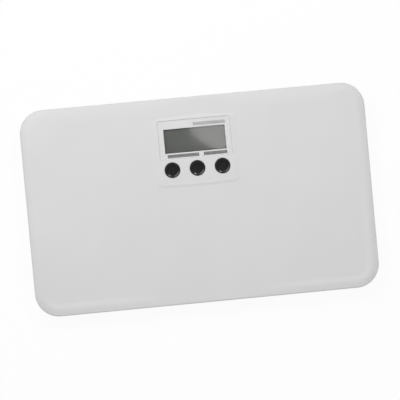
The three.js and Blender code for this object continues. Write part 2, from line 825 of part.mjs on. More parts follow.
function buildDisplay() {
  const lensShape = roundedRectangle(lensLength, lensWidth, lensCorner);
  const lens = prism(lensShape, 0, lensY, lensFloor + lensBed / 2, islandTop - lensBed / 2);
  placeSolid('lens_panel', lens, 'coverPanel');

  const glassLength = windowLength + 2 * glassMargin;
  const glassWidth = windowWidth + 2 * glassMargin;
  const ledgeFront = windowY - glassWidth / 2;
  const middle = glassBottom + glassThickness;
  const backGlass = blockAt(0, windowY, glassLength, glassWidth, glassBottom, middle + embed);
  const frontGlass = block(
    -glassLength / 2, glassLength / 2, ledgeFront + glassLedge, windowY + glassWidth / 2, middle, glassTop,
  );
  const step = block(
    -glassLength, glassLength, ledgeFront - overrun, ledgeFront + glassLedge, middle, glassTop + overrun,
  );
  placeSolid('lcd_glass', backGlass.add(frontGlass).subtract(step), 'displayGlass');

  const frameBottom = boardTop + seatGap;
  const shelf = glassBottom - seatGap;
  const connectorY = ledgeFront + glassLedge / 2 + seatGap;
  const connectorLength = glassLength - 2 * connectorInset;
  const slotLength = connectorLength + 2 * seatGap;
  const slotWidth = connectorThickness + 2 * seatGap;
  const underside = frameBottom - overrun;
  const frameBlock = (margin, z0, z1) => (
    blockAt(0, windowY, glassLength + 2 * margin, glassWidth + 2 * margin, z0, z1)
  );
  const frameSolid = frameBlock(frameWall, frameBottom, middle)
    .subtract(frameBlock(seatGap, shelf, middle + overrun))
    .subtract(frameBlock(-glassMargin - frameShelf, underside, shelf + overrun))
    .subtract(blockAt(0, connectorY, slotLength, slotWidth, underside, shelf + overrun));
  placeSolid('lcd_holder', frameSolid, 'innerPlastic');

  const connector = blockAt(
    0, connectorY, connectorLength, connectorThickness, boardTop + seatGap, glassBottom - seatGap,
  );
  placeSolid('zebra_strip', connector, 'rubberGrey');
}

function buildBoard() {
  let board = block(-boardHalfX, boardHalfX, boardFront, boardBack, boardBottom, boardTop);
  boardHoles.forEach(([x, y]) => {
    const hole = disc(x, y, boardHoleRadius, boardBottom - overrun, boardTop + overrun, smallSides);
    board = board.subtract(hole);
  });
  placeSolid('main_board', board, 'boardGreen');

  const chipTop = boardBottom - seatGap;
  const half = chipSize / 2;
  const chipRing = (reach, z) => [
    [reach, reach, z],
    [-reach, reach, z],
    [-reach, -reach, z],
    [reach, -reach, z],
  ];
  const chip = loft([
    chipRing(half - chipChamfer / 2, chipTop - chipThickness),
    chipRing(half, chipTop - chipThickness / 2),
    chipRing(half - chipChamfer / 2, chipTop),
  ]);
  place('controller_chip', tidyGeometry(chip.translate(0, (keyY + lensY) / 2, 0)), 'chipBlack');
}

function buildKeys() {
  const top = islandTop + keyProud;
  const flangeTop = deckInner - seatGap;
  const flangeBottom = flangeTop - keyFlangeThickness;
  const flangeRadius = keyRadius + keyFlangeReach;
  const switchBottom = boardTop + seatGap;
  const switchTop = switchBottom + switchHeight;
  const plungerTop = switchTop + plungerProud;
  const stemBottom = plungerTop + seatGap;
  const dishEdge = keyRadius - keyDishInset;
  keys.forEach(([side, x]) => {
    place(`key_cap_${side}`, turned(x, keyY, [
      [0, stemBottom],
      [keyStemRadius, stemBottom],
      [keyStemRadius, flangeBottom],
      [flangeRadius, flangeBottom],
      [flangeRadius, flangeTop],
      [keyRadius, flangeTop],
      [keyRadius, top - keyRimRound],
      [keyRadius - keyRimRound * (1 - Math.SQRT1_2), top - keyRimRound * (1 - Math.SQRT1_2)],
      [keyRadius - keyRimRound, top],
      ...keyDishShares.map(([across, down]) => [dishEdge * across, top - keyDishDepth * down]),
    ], fineSides), 'blackKey');

    const boreFloor = switchTop - plungerSunk - keyTravel - seatGap;
    const body = blockAt(x, keyY, switchSize, switchSize, switchBottom, switchTop - switchCollarHeight)
      .add(disc(x, keyY, switchCollarRadius, switchBottom + embed, switchTop, smallSides))
      .subtract(disc(x, keyY, plungerRadius + plungerGap, boreFloor, switchTop + overrun, smallSides));
    placeSolid(`tact_switch_${side}`, body, 'chipBlack');
    const plunger = disc(x, keyY, plungerRadius, switchTop - plungerSunk, plungerTop, smallSides);
    placeSolid(`switch_plunger_${side}`, plunger, 'innerPlastic');
  });
}

function loadCell(x, y, inward) {
  const outer = roundedRectangle(cellSize, cellSize, cellCorner);
  const inner = cellSize / 2 - cellFrame;
  const neck = cellNeck / 2;
  const slot = new THREE.Path();
  slot.moveTo(-inner, neck);
  slot.lineTo(-inner, inner);
  slot.lineTo(inner, inner);
  slot.lineTo(inner, -inner);
  slot.lineTo(-inner, -inner);
  slot.lineTo(-inner, -neck);
  slot.lineTo(-inner + cellSlot, -neck);
  slot.lineTo(-inner + cellSlot, -inner + cellSlot);
  slot.lineTo(inner - cellSlot, -inner + cellSlot);
  slot.lineTo(inner - cellSlot, inner - cellSlot);
  slot.lineTo(-inner + cellSlot, inner - cellSlot);
  slot.lineTo(-inner + cellSlot, neck);
  slot.closePath();
  outer.holes.push(slot);
  const turn = inward > 0 ? Math.PI : 0;
  const options = { depth: cellThickness, bevelEnabled: false, curveSegments: 2 };
  const plate = new THREE.ExtrudeGeometry(outer, options);
  return solidOf(plate.rotateZ(turn).translate(x, y, cellBottom))
    .add(blockAt(x, y, cellGaugeLength, cellGaugeWidth, cellTop - embed, cellTop + cellGaugeHeight));
}

function cellCap(x, y, inward) {
  const inside = seatRingRadius + seatGap;
  const outside = inside + capSkirt;
  const top = capBottom + capThickness;
  let cap = solidOf(turned(x, y, [
    [capHoleRadius, capBottom],
    [inside, capBottom],
    [inside, capBottom - capSkirtDrop],
    [outside, capBottom - capSkirtDrop],
    [outside, top],
    [capHoleRadius, top],
    [capHoleRadius, capBottom],
  ], middleSides));
  const padPlace = (cellSize - capPadSize) / 2;
  corners.forEach(([, sideX, sideY]) => {
    const padX = x + sideX * padPlace;
    const padY = y + sideY * padPlace;
    cap = cap.add(blockAt(padX, padY, capPadSize, capPadSize, cellTop + seatGap, capBottom + embed));
  });
  const reach = outside + overrun;
  return cap.subtract(blockAt(
    x + inward * (reach + capHoleRadius) / 2, y, reach - capHoleRadius, leadNotch,
    capBottom - capSkirtDrop - overrun, capBottom,
  ));
}

function footPad(x, y) {
  return turned(x, y, [
    [0, padGroove],
    [padGrooveRadius - padGroove, padGroove],
    [padGrooveRadius, 0],
    [padRadius - padChamfer, 0],
    [padRadius, padChamfer],
    [padRadius, padThickness],
    [0, padThickness],
  ]);
}

function footCup(x, y) {
  const bottom = padThickness - padSunk;
  const padSeat = padThickness + seatGap;
  const floorTop = padSeat + cupFloor;
  const inside = cupRadius - cupWall;
  return turned(x, y, [
    [0, padSeat],
    [padRadius + seatGap, padSeat],
    [padRadius + seatGap, bottom],
    [cupRadius - cupRound, bottom],
    [cupRadius, bottom + cupRound],
    [cupRadius, cupFlangeBottom],
    [cupRadius + cupFlangeReach, cupFlangeBottom],
    [cupRadius + cupFlangeReach, cupFlangeTop],
    [inside, cupFlangeTop],
    [inside, floorTop],
    [cupStudRadius, floorTop],
    [cupStudRadius, cupFlangeTop + cupStudProud],
    [0, cupFlangeTop + cupStudProud],
  ]);
}

function buildFeet() {
  corners.forEach(([corner, sideX, sideY]) => {
    const x = sideX * footX;
    const y = sideY * footY;
    place(`foot_pad_${corner}`, footPad(x, y), 'rubberGrey');
    place(`foot_cup_${corner}`, footCup(x, y), 'innerPlastic');
    placeSolid(`load_cell_${corner}`, loadCell(x, y, -sideX), 'steel');
    placeSolid(`cell_cap_${corner}`, cellCap(x, y, -sideX), 'innerPlastic');
  });
}

function batteryX(count) {
  return (count - (batteryCount - 1) / 2) * batteryPitch;
}

// Every second cell points the other way, so that its plus end faces the front of the bay
function batteryPlusSide(count) {
  return count % 2 === 0 ? 1 : -1;
}

function buildBatteries() {
  for (let count = 0; count < batteryCount; count += 1) {
    const can = batteryLength - batteryNubHeight;
    const cell = turned(0, 0, [
      [0, 0],
      [batteryRadius - batteryRound, 0],
      [batteryRadius, batteryRound],
      [batteryRadius, can - batteryRound],
      [batteryRadius - batteryRound, can],
      [batteryNubRadius, can],
      [batteryNubRadius, batteryLength],
      [0, batteryLength],
    ], middleSides);
    const plus = batteryPlusSide(count);
    const minusEnd = bayCentreY - plus * (bayLength / 2 - minusRoom);
    cell.rotateX(-plus * Math.PI / 2);
    place(`battery_cell_${count + 1}`, cell.translate(batteryX(count), minusEnd, batteryZ), 'batteryJacket');
  }
}

// A conical coil from a contact plate towards a cell's minus end, with its ends run straight
function spring(x, wallY, inward) {
  const plateY = wallY + inward * (contactGap + contactThickness);
  const startY = plateY - inward * springWire;
  const climb = springLength - 2 * springEndRun + springWire;
  const steps = springCurls * springStepsPerCurl;
  const coil = Array.from({ length: steps + 1 }, (unused, step) => {
    const share = step / steps;
    const angle = 2 * Math.PI * springCurls * share;
    const radius = THREE.MathUtils.lerp(springBaseRadius, springTipRadius, share);
    return new THREE.Vector3(
      x + radius * Math.cos(angle),
      startY + inward * (springEndRun + climb * share),
      batteryZ + radius * Math.sin(angle),
    );
  });
  const foot = coil[0].clone().setY(startY);
  return { solid: solidOf(tube([foot, ...coil], springWire, springSides)), coil };
}

// The least gap between a coil's wire and its own curls from half a curl on
function coilGap(coil) {
  let least = Infinity;
  coil.forEach((point, step) => {
    coil.slice(step + springStepsPerCurl / 2).forEach((other) => {
      least = Math.min(least, point.distanceTo(other) - 2 * springWire);
    });
  });
  return least;
}

function contactPlate(x, width, wallY, inward) {
  const near = wallY + inward * contactGap;
  const far = near + inward * contactThickness;
  return block(
    x - width / 2, x + width / 2, Math.min(near, far), Math.max(near, far),
    batteryZ - contactHeight / 2, batteryZ + contactHeight / 2,
  );
}

function dimple(x, wallY, inward) {
  const near = wallY + inward * (contactGap + contactThickness / 2);
  const far = wallY + inward * (contactGap + contactThickness + contactDimple);
  const geometry = new THREE.CylinderGeometry(
    contactDimpleRadius, contactDimpleRadius, Math.abs(far - near), smallSides,
  );
  return solidOf(geometry.translate(x, (near + far) / 2, batteryZ));
}

function tail(x, wallY, inward) {
  const near = wallY + inward * (contactGap + contactThickness / 2);
  const far = wallY - inward * (bayWall + tailReach);
  return block(
    x - tailWidth / 2, x + tailWidth / 2, Math.min(near, far), Math.max(near, far),
    batteryZ - contactThickness / 2, batteryZ + contactThickness / 2,
  );
}

function buildContacts() {
  const backWall = bayCentreY + bayLength / 2;
  const frontWall = bayCentreY - bayLength / 2;
  const gaps = [];
  const coilAt = (x, wallY, inward) => {
    const { solid, coil } = spring(x, wallY, inward);
    gaps.push(coilGap(coil));
    return solid;
  };
  const first = batteryX(0);
  const last = batteryX(batteryCount - 1);
  const plus = contactPlate(first, contactWidth, backWall, -1)
    .add(dimple(first, backWall, -1))
    .add(tail(first, backWall, -1));
  placeSolid('terminal_plus', plus, 'steel');
  const minus = contactPlate(last, contactWidth, backWall, -1)
    .add(coilAt(last, backWall, -1))
    .add(tail(last, backWall, -1));
  placeSolid('terminal_minus', minus, 'steel');
  for (let count = 0; count + 1 < batteryCount; count += 1) {
    const wallY = count % 2 === 0 ? frontWall : backWall;
    const inward = count % 2 === 0 ? 1 : -1;
    const middle = (batteryX(count) + batteryX(count + 1)) / 2;
    const bridge = contactPlate(middle, contactWidth + batteryPitch, wallY, inward)
      .add(coilAt(batteryX(count), wallY, inward))
      .add(dimple(batteryX(count + 1), wallY, inward));
    placeSolid(`bridge_${count + 1}`, bridge, 'steel');
  }
  console.log(`least gap between a spring's curls: ${Math.min(...gaps).toFixed(2)} mm`);
}

function buildDoor() {
  const front = bayCentreY - openingLength / 2 + doorGap;
  const back = bayCentreY + openingLength / 2 - doorGap;
  const half = openingWidth / 2 - doorGap;
  const tabBottom = baseInner + seatGap;
  const tabTop = tabBottom + tabThickness;
  const latchFace = back - latchSetback;
  const latchTop = doorInner + latchHeight;
  let door = block(-half, half, front, back, groundClearance, doorInner);
  [-tabSpacing / 2, tabSpacing / 2].forEach((x) => {
    door = door
      .add(block(x - tabWidth / 2, x + tabWidth / 2, front, front + tabRiser, doorInner - embed, tabTop))
      .add(block(x - tabWidth / 2, x + tabWidth / 2, front - tabReach, front + tabRiser, tabBottom, tabTop));
  });
  door = door
    .add(blockAt(
      0, latchFace - latchThickness / 2, latchWidth, latchThickness, doorInner - embed, latchTop,
    ))
    .add(block(
      -latchWidth / 2, latchWidth / 2, latchFace - latchThickness, back, latchTop - latchNib, latchTop,
    ));
  for (let count = 0; count < doorRibCount; count += 1) {
    const y = back - (count + 1) * doorRibPitch - latchSetback;
    door = door.subtract(blockAt(
      0, y, doorRibLength, doorRibWidth, groundClearance - overrun, groundClearance + doorRibHeight,
    ));
  }
  placeSolid('battery_door', door, 'whiteShell');
}

// A smooth run through chosen points, as points for a tube
function route(points) {
  const places = points.map((point) => new THREE.Vector3(...point));
  const curve = new THREE.CatmullRomCurve3(places, false, 'centripetal');
  return curve.getPoints(leadStepsPerPoint * (points.length - 1));
}

function buildLeads() {
  const floorZ = baseInner + seatGap + leadSlack + leadRadius;
  const endZ = boardBottom - seatGap;
  const notchZ = cellLedge + leadRadius + seatGap;
  const tailEnd = bayCentreY + bayLength / 2 + bayWall + tailReach + seatGap;
  const powerLeads = [['plus', batteryX(0), 'leadRed'], ['minus', batteryX(batteryCount - 1), 'leadBlack']];
  powerLeads.forEach(([name, x, finish]) => {
    const landing = boardFront + leadRise;
    const middle = THREE.MathUtils.lerp(tailEnd, landing, leadMiddleShare);
    const points = route([
      [x, tailEnd, batteryZ],
      [x, tailEnd + leadRise, batteryZ],
      [x, middle, floorZ + leadRadius],
      [x, landing, floorZ + leadRise],
      [x, landing + leadRadius, endZ - leadRise / 2],
      [x, landing + leadRadius, endZ],
    ]);
    place(`power_lead_${name}`, tube(points, leadRadius, leadSides), finish);
  });
  corners.forEach(([corner, sideX, sideY]) => {
    const startX = footX - cellSize / 2 - seatGap;
    const outX = footX - seatRingRadius - capSkirt - leadRise;
    const landX = boardHalfX - leadRise;
    const landY = sideY > 0 ? windowY : (boardFront + keyY) / 2;
    const y = sideY * footY;
    const along = leadRunShares.map((share) => [
      sideX * THREE.MathUtils.lerp(outX, landX + leadRise, share),
      THREE.MathUtils.lerp(y, landY, share * share),
      floorZ,
    ]);
    const points = route([
      [sideX * startX, y, notchZ],
      [sideX * (footX - seatRingRadius), y, notchZ],
      [sideX * (footX - seatRingRadius - capSkirt - leadRadius), y, notchZ],
      [sideX * outX, y, floorZ],
      ...along,
      [sideX * (landX + leadRadius), landY, floorZ + leadRise],
      [sideX * landX, landY, endZ - leadRise / 2],
      [sideX * landX, landY, endZ],
    ]);
    place(`cell_lead_${corner}`, tube(points, leadRadius, leadSides), 'leadBlack');
  });
}

buildTopCover();
buildBaseCover();
buildDisplay();
buildBoard();
buildKeys();
buildFeet();
buildBatteries();
buildContacts();
buildDoor();
buildScrews();
buildLeads();

export default scale;
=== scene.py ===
"""The looks of a low electronic platform scale for babies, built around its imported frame.

Sizes are in millimetres and in the frame's axes: +Z up, the origin on the floor under the
middle of the platform, +X along its long side and +Y towards the edge with the display.
"""

import logging
import math
from collections.abc import Callable, Iterable, Mapping, Sequence
from dataclasses import dataclass, field, replace
from enum import Enum

import bmesh
import bpy
from mathutils import Matrix, Vector


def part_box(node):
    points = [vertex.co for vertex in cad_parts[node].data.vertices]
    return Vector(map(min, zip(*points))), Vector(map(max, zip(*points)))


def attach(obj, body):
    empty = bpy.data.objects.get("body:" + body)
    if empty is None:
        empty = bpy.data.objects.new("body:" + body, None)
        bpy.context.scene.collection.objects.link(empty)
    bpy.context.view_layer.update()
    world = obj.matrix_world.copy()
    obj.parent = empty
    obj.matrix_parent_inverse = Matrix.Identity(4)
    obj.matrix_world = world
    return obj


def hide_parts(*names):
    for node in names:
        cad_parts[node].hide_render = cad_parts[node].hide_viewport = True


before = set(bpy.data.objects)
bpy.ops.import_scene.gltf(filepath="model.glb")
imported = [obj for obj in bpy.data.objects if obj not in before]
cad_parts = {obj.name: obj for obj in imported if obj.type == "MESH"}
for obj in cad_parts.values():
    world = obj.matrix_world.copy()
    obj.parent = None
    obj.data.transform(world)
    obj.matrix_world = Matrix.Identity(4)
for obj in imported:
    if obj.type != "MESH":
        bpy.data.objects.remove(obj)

logging.basicConfig(level=logging.INFO, format="%(message)s")
log = logging.getLogger("scale")

MM = 0.001
TURN = 2 * math.pi

Point = tuple[float, float, float]
Spot = tuple[float, float]
Ring = list[Point]
Inputs = Mapping[str | int, object]

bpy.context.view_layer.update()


class Carve(Enum):
    """How a tool body changes the body that it is applied to."""

    JOIN = "UNION"
    CUT = "DIFFERENCE"


def clamp(value: float, low: float = 0.0, high: float = 1.0) -> float:
    """Returns value held between low and high."""
    return max(low, min(high, value))


def mix(a: float, b: float, share: float) -> float:
    """Returns the value that lies a share of the way from a to b."""
    return a + (b - a) * share


def ease(start: float, end: float, value: float) -> float:
    """Returns how far value has gone from start to end, from 0 to 1, with soft ends."""
    share = clamp((value - start) / (end - start))
    return share * share * (3 - 2 * share)


def linear(level: int) -> float:
    """Returns the linear light of one sRGB level from 0 to 255."""
    share = level / 255
    return share / 12.92 if share <= 0.04045 else ((share + 0.055) / 1.055) ** 2.4


def linear_colour(levels: Sequence[int]) -> list[float]:
    """Returns the linear light of a colour in sRGB levels."""
    return [linear(level) for level in levels]


def quarter_turn(steps: int) -> list[tuple[float, float]]:
    """Returns the cosine and the sine at even steps of a quarter turn, both ends included."""
    angles = [TURN / 4 * step / steps for step in range(steps + 1)]
    return [(math.cos(angle), math.sin(angle)) for angle in angles]


def low_round(radius: float, z: float, bend: float, steps: int) -> list[Spot]:
    """Returns a turned body's lower outer edge, rounded from its end face to its side.

    Args:
        radius: the body's radius.
        z: the height of its end face.
        bend: the radius of the round.
        steps: how many steps the round has.

    Returns:
        Its points of radius and height.
    """
    turns = quarter_turn(steps)
    return [(radius - bend * (1 - sine), z + bend * (1 - cosine)) for cosine, sine in turns]


def at_height(shape: Sequence[Spot], z: float) -> Ring:
    """Returns a plan shape as a ring at a height."""
    return [(x, y, z) for x, y in shape]


def flare_levels(z0: float, z1: float, mouth: float, flare: float) -> list[Spot]:
    """Returns the levels of an upright cutter that flares by 45 degrees where it leaves a surface.

    Args:
        z0: the lower end.
        z1: the upper end.
        mouth: the height of the surface, nearer to the end that is outside it.
        flare: how wide the chamfer is at the surface.

    Returns:
        How much the cutter has grown at each height, from its inner end to its outer one.
    """
    at_bottom = abs(mouth - z0) < abs(z1 - mouth)
    out, far = (z0, z1) if at_bottom else (z1, z0)
    into = 1 if at_bottom else -1
    return [(0.0, far), (0.0, mouth + into * flare), (flare + abs(out - mouth), out)]


@dataclass(frozen=True)
class NodeBox:
    """The box of one CAD node at rest, in millimetres."""

    low: Vector
    high: Vector

    @classmethod
    def of(cls, node: str) -> "NodeBox":
        """Returns the box of a CAD node.

        Args:
            node: the node's name in the frame.

        Returns:
            Its box in millimetres.
        """
        low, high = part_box(node)
        return cls(low / MM, high / MM)

    @property
    def middle(self) -> Vector:
        """The middle of the box."""
        return (self.low + self.high) / 2

    @property
    def size(self) -> Vector:
        """The box's size along each axis."""
        return self.high - self.low


class Draft:
    """A mesh being drawn up in millimetres, made of closed bodies that may carry several finishes."""

    def __init__(self) -> None:
        """Starts with nothing."""
        self.points: list[Point] = []
        self.faces: list[tuple[int, ...]] = []
        self.finishes: list[int] = []

    def face(self, corners: Sequence[int], finish: int = 0) -> None:
        """Adds one face over points that are already there."""
        self.faces.append(tuple(corners))
        self.finishes.append(finish)

    def loft(
        self, rings: Sequence[Ring], looped: bool = False, finishes: Sequence[int] = (),
    ) -> "Draft":
        """Skins closed rings that have equally many points.

        Args:
            rings: the rings in order.
            looped: joins the last ring to the first, and otherwise both ends are capped.
            finishes: the finish of each band between two rings, all 0 if left out.

        Returns:
            This draft.
        """
        count = len(rings[0])
        first = len(self.points)
        for ring in rings:
            self.points.extend(ring)
        bands = len(rings) if looped else len(rings) - 1
        for band in range(bands):
            low = first + band * count
            high = first + (band + 1) % len(rings) * count
            finish = finishes[band] if finishes else 0
            for side in range(count):
                other = (side + 1) % count
                self.face((low + side, low + other, high + other, high + side), finish)
        if not looped:
            last = first + (len(rings) - 1) * count
            self.face(range(first + count - 1, first - 1, -1), finishes[0] if finishes else 0)
            self.face(range(last, last + count), finishes[-1] if finishes else 0)
        return self

    def lathe(
        self, x: float, y: float, profile: Sequence[Spot], sides: int, looped: bool = False,
    ) -> "Draft":
        """Turns a profile of radius and height about an upright axis.

        Args:
            x: the axis's place along X.
            y: the axis's place along Y.
            profile: points of radius and height; it starts and ends on the axis or is looped.
            sides: how many sides the turned body has.
            looped: joins the profile's last point to its first.

        Returns:
            This draft.
        """
        ids: list[list[int]] = []
        for radius, height in profile:
            start = len(self.points)
            if radius == 0:
                self.points.append((x, y, height))
                ids.append([start] * sides)
                continue
            for side in range(sides):
                angle = TURN * side / sides
                self.points.append((x + radius * math.cos(angle), y + radius * math.sin(angle), height))
            ids.append(list(range(start, start + sides)))
        bands = len(ids) if looped else len(ids) - 1
        for band in range(bands):
            low = ids[band]
            high = ids[(band + 1) % len(ids)]
            for side in range(sides):
                other = (side + 1) % sides
                corners = dict.fromkeys((low[side], low[other], high[other], high[side]))
                if len(corners) > 2:
                    self.face(tuple(corners))
        return self

    def prism(self, shape: Sequence[Spot], z0: float, z1: float) -> "Draft":
        """Adds an upright body over a plan shape, from height z0 to z1, and returns this draft."""
        return self.loft([at_height(shape, z) for z in (z0, z1)])

    def block(self, x0: float, x1: float, y0: float, y1: float, z0: float, z1: float) -> "Draft":
        """Adds a block between two corners and returns this draft."""
        return self.prism([(x0, y0), (x1, y0), (x1, y1), (x0, y1)], z0, z1)

    def block_at(self, x: float, y: float, size_x: float, size_y: float, z0: float, z1: float) -> "Draft":
        """Adds a block by its middle and size in plan, and returns this draft."""
        return self.block(x - size_x / 2, x + size_x / 2, y - size_y / 2, y + size_y / 2, z0, z1)

    def disc(self, x: float, y: float, radius: float, z0: float, z1: float, sides: int) -> None:
        """Adds an upright cylinder."""
        self.lathe(x, y, [(0, z0), (radius, z0), (radius, z1), (0, z1)], sides)

    def bore(
        self, x: float, y: float, radius: float, z0: float, z1: float, mouth: float, flare: float,
        sides: int,
    ) -> None:
        """Adds a cylinder that flares by 45 degrees where it leaves a surface.

        Args:
            x: the axis's place along X.
            y: the axis's place along Y.
            radius: the straight part's radius.
            z0: the lower end.
            z1: the upper end.
            mouth: the height of the surface, nearer to the end that is outside it.
            flare: how wide the chamfer is at the surface.
            sides: how many sides the cylinder has.
        """
        walls = [(radius + growth, z) for growth, z in reversed(flare_levels(z0, z1, mouth, flare))]
        self.lathe(x, y, [(0, walls[0][1]), *walls, (0, walls[-1][1])], sides)

    def tube(self, path: Sequence[Vector], radius: float, sides: int) -> "Draft":
        """Adds a round tube along a path, shut at both ends and without twist.

        Args:
            path: the points of the tube's middle line.
            radius: the tube's radius.
            sides: how many sides its section has.

        Returns:
            This draft.
        """
        tangents = []
        for step, point in enumerate(path):
            before = path[max(step - 1, 0)]
            after = path[min(step + 1, len(path) - 1)]
            tangents.append((after - before).normalized())
        upright = Vector((0, 0, 1))
        start = upright if abs(tangents[0].dot(upright)) < math.sqrt(0.5) else Vector((1, 0, 0))
        across = start.cross(tangents[0]).normalized()
        rings = []
        for point, tangent in zip(path, tangents):
            across = (across - tangent * across.dot(tangent)).normalized()
            over = tangent.cross(across)
            ring = []
            for side in range(sides):
                angle = TURN * side / sides
                arm = across * (radius * math.cos(angle)) + over * (radius * math.sin(angle))
                ring.append(tuple(point + arm))
            rings.append(ring)
        return self.loft(rings)

    def build(self, name: str, materials: Sequence[bpy.types.Material] = ()) -> bpy.types.Object:
        """Makes the drawn bodies into one object, in metres, with its faces pointing out.

        Args:
            name: the object's name.
            materials: the materials that the faces' finish numbers point at.

        Returns:
            The new object, linked to the scene.
        """
        mesh = bpy.data.meshes.new(name)
        mesh.from_pydata([tuple(value * MM for value in point) for point in self.points], [], self.faces)
        for polygon, finish in zip(mesh.polygons, self.finishes):
            polygon.material_index = finish
        work = bmesh.new()
        work.from_mesh(mesh)
        bmesh.ops.remove_doubles(work, verts=work.verts, dist=Shaping.WELD * MM)
        bmesh.ops.recalc_face_normals(work, faces=work.faces)
        work.to_mesh(mesh)
        work.free()
        for material in materials:
            mesh.materials.append(material)
        made = bpy.data.objects.new(name, mesh)
        bpy.context.scene.collection.objects.link(made)
        return made


class Shaping:
    """What is done to a mesh once it is drawn: carving, edges and shading."""

    WELD = 0.0005
    SMOOTH_ANGLE = math.radians(32)
    BEVEL_ANGLE = math.radians(28)

    @staticmethod
    def settle(piece: bpy.types.Object) -> None:
        """Turns a piece's modifiers into its mesh."""
        bpy.context.view_layer.update()
        graph = bpy.context.evaluated_depsgraph_get()
        settled = bpy.data.meshes.new_from_object(piece.evaluated_get(graph))
        old = piece.data
        piece.modifiers.clear()
        piece.data = settled
        bpy.data.meshes.remove(old)
        settled.name = piece.name

    @classmethod
    def carve(cls, piece: bpy.types.Object, how: Carve, tool: Draft) -> None:
        """Joins the tool's bodies to a piece, or cuts them out of it.

        Args:
            piece: the closed mesh that changes.
            how: join or cut.
            tool: closed bodies that don't overlap each other.
        """
        other = tool.build("tool")
        modifier = piece.modifiers.new("carve", "BOOLEAN")
        modifier.object = other
        modifier.operation = how.value
        modifier.solver = "MANIFOLD"
        cls.settle(piece)
        bpy.data.meshes.remove(other.data)

    @classmethod
    def soften(cls, piece: bpy.types.Object, width: float, segments: int = 2) -> None:
        """Rounds a piece's sharp edges.

        Args:
            piece: the piece to change.
            width: the bevel's width in millimetres.
            segments: how many steps the round has.
        """
        bevel = piece.modifiers.new("edges", "BEVEL")
        bevel.width = width * MM
        bevel.segments = segments
        bevel.limit_method = "ANGLE"
        bevel.angle_limit = cls.BEVEL_ANGLE

    @classmethod
    def shade(cls, piece: bpy.types.Object) -> None:
        """Shades a piece smooth up to its creases, with its large flat faces kept flat."""
        piece.data.shade_smooth()
        piece.data.set_sharp_from_angle(angle=cls.SMOOTH_ANGLE)
        cls.weigh(piece)

    @staticmethod
    def weigh(piece: bpy.types.Object) -> None:
        """Lets a piece's large faces lead its shading."""
        weighted = piece.modifiers.new("normals", "WEIGHTED_NORMAL")
        weighted.keep_sharp = True


class Wiring:
    """A node tree that is wired up from nothing."""

    def __init__(self, tree: bpy.types.NodeTree) -> None:
        """Empties the tree."""
        self.tree = tree
        tree.nodes.clear()

    def feed(self, node: bpy.types.Node, inputs: Inputs) -> None:
        """Sets a node's inputs, or wires other nodes' sockets to them."""
        for key, value in inputs.items():
            if isinstance(value, bpy.types.NodeSocket):
                self.tree.links.new(value, node.inputs[key])
            else:
                node.inputs[key].default_value = value

    def add(self, kind: str, inputs: Inputs | None = None, **settings: object) -> bpy.types.Node:
        """Adds a node.

        Args:
            kind: its type.
            inputs: a value, or another node's socket, for each input that doesn't stay as it is.
            settings: its properties.

        Returns:
            The node.
        """
        node = self.tree.nodes.new(kind)
        for key, value in settings.items():
            setattr(node, key, value)
        self.feed(node, inputs or {})
        return node

    def ranged(
        self, value: bpy.types.NodeSocket, low: object, high: object, start: float = 0, end: float = 1,
    ) -> bpy.types.NodeSocket:
        """Maps a value.

        Args:
            value: what is mapped.
            low: a value or socket for what start becomes.
            high: a value or socket for what end becomes.
            start: where the range begins.
            end: where the range ends.

        Returns:
            The mapped value.
        """
        inputs = {"Value": value, "From Min": start, "From Max": end, "To Min": low, "To Max": high}
        return self.add("ShaderNodeMapRange", inputs).outputs["Result"]

    def greater(self, first: bpy.types.NodeSocket, second: bpy.types.NodeSocket) -> bpy.types.NodeSocket:
        """Returns the greater of two values."""
        return self.add("ShaderNodeMath", {0: first, 1: second}, operation="MAXIMUM").outputs["Value"]

    def seen(self) -> bpy.types.NodeSocket:
        """Returns 1 for the rays in which a surface is seen, mirrored or seen through glass, else 0."""
        rays = self.add("ShaderNodeLightPath").outputs
        direct = self.greater(rays["Is Camera Ray"], rays["Is Glossy Ray"])
        return self.greater(direct, rays["Is Transmission Ray"])


class Nodes(Wiring):
    """A material's nodes."""

    NOISE_LOW = 0.3
    NOISE_HIGH = 0.7
    NOISE_DETAIL = 3.0

    def __init__(self, name: str) -> None:
        """Starts a material that holds only its output and one shader."""
        self.material = bpy.data.materials.new(name)
        self.material.use_nodes = True
        super().__init__(self.material.node_tree)
        self.shader = self.add("ShaderNodeBsdfPrincipled")
        self.output = self.add("ShaderNodeOutputMaterial", {"Surface": self.shader.outputs["BSDF"]})
        self.place = self.add("ShaderNodeTexCoord").outputs["Object"]

    def noise(self, size: float, stretch: Point = (1, 1, 1)) -> bpy.types.NodeSocket:
        """Adds noise whose blots are about size millimetres across.

        Args:
            size: the blots' size in millimetres.
            stretch: how much longer the blots are along each axis.

        Returns:
            The noise's value, around one half.
        """
        scale = tuple(1 / value for value in stretch)
        spot = self.add("ShaderNodeMapping", {"Vector": self.place, "Scale": scale}).outputs["Vector"]
        inputs = {"Vector": spot, "Scale": 1 / (size * MM), "Detail": self.NOISE_DETAIL}
        return self.add("ShaderNodeTexNoise", inputs).outputs["Fac"]

    def spread(self, noise: bpy.types.NodeSocket, low: float, high: float) -> bpy.types.NodeSocket:
        """Returns noise mapped to run from low to high."""
        return self.ranged(noise, low, high, self.NOISE_LOW, self.NOISE_HIGH)

    def blend(
        self, share: bpy.types.NodeSocket, first: Sequence[float], second: Sequence[float],
    ) -> bpy.types.NodeSocket:
        """Returns a colour that goes from first to second with share."""
        inputs = {0: share, 6: (*first, 1), 7: (*second, 1)}
        return self.add("ShaderNodeMix", inputs, data_type="RGBA").outputs[2]

    def layer(self, share: bpy.types.NodeSocket, *shaders: bpy.types.NodeSocket) -> bpy.types.NodeSocket:
        """Returns a shader that goes from the first of two shaders to the second with share."""
        inputs = dict(enumerate((share, *shaders)))
        return self.add("ShaderNodeMixShader", inputs).outputs["Shader"]


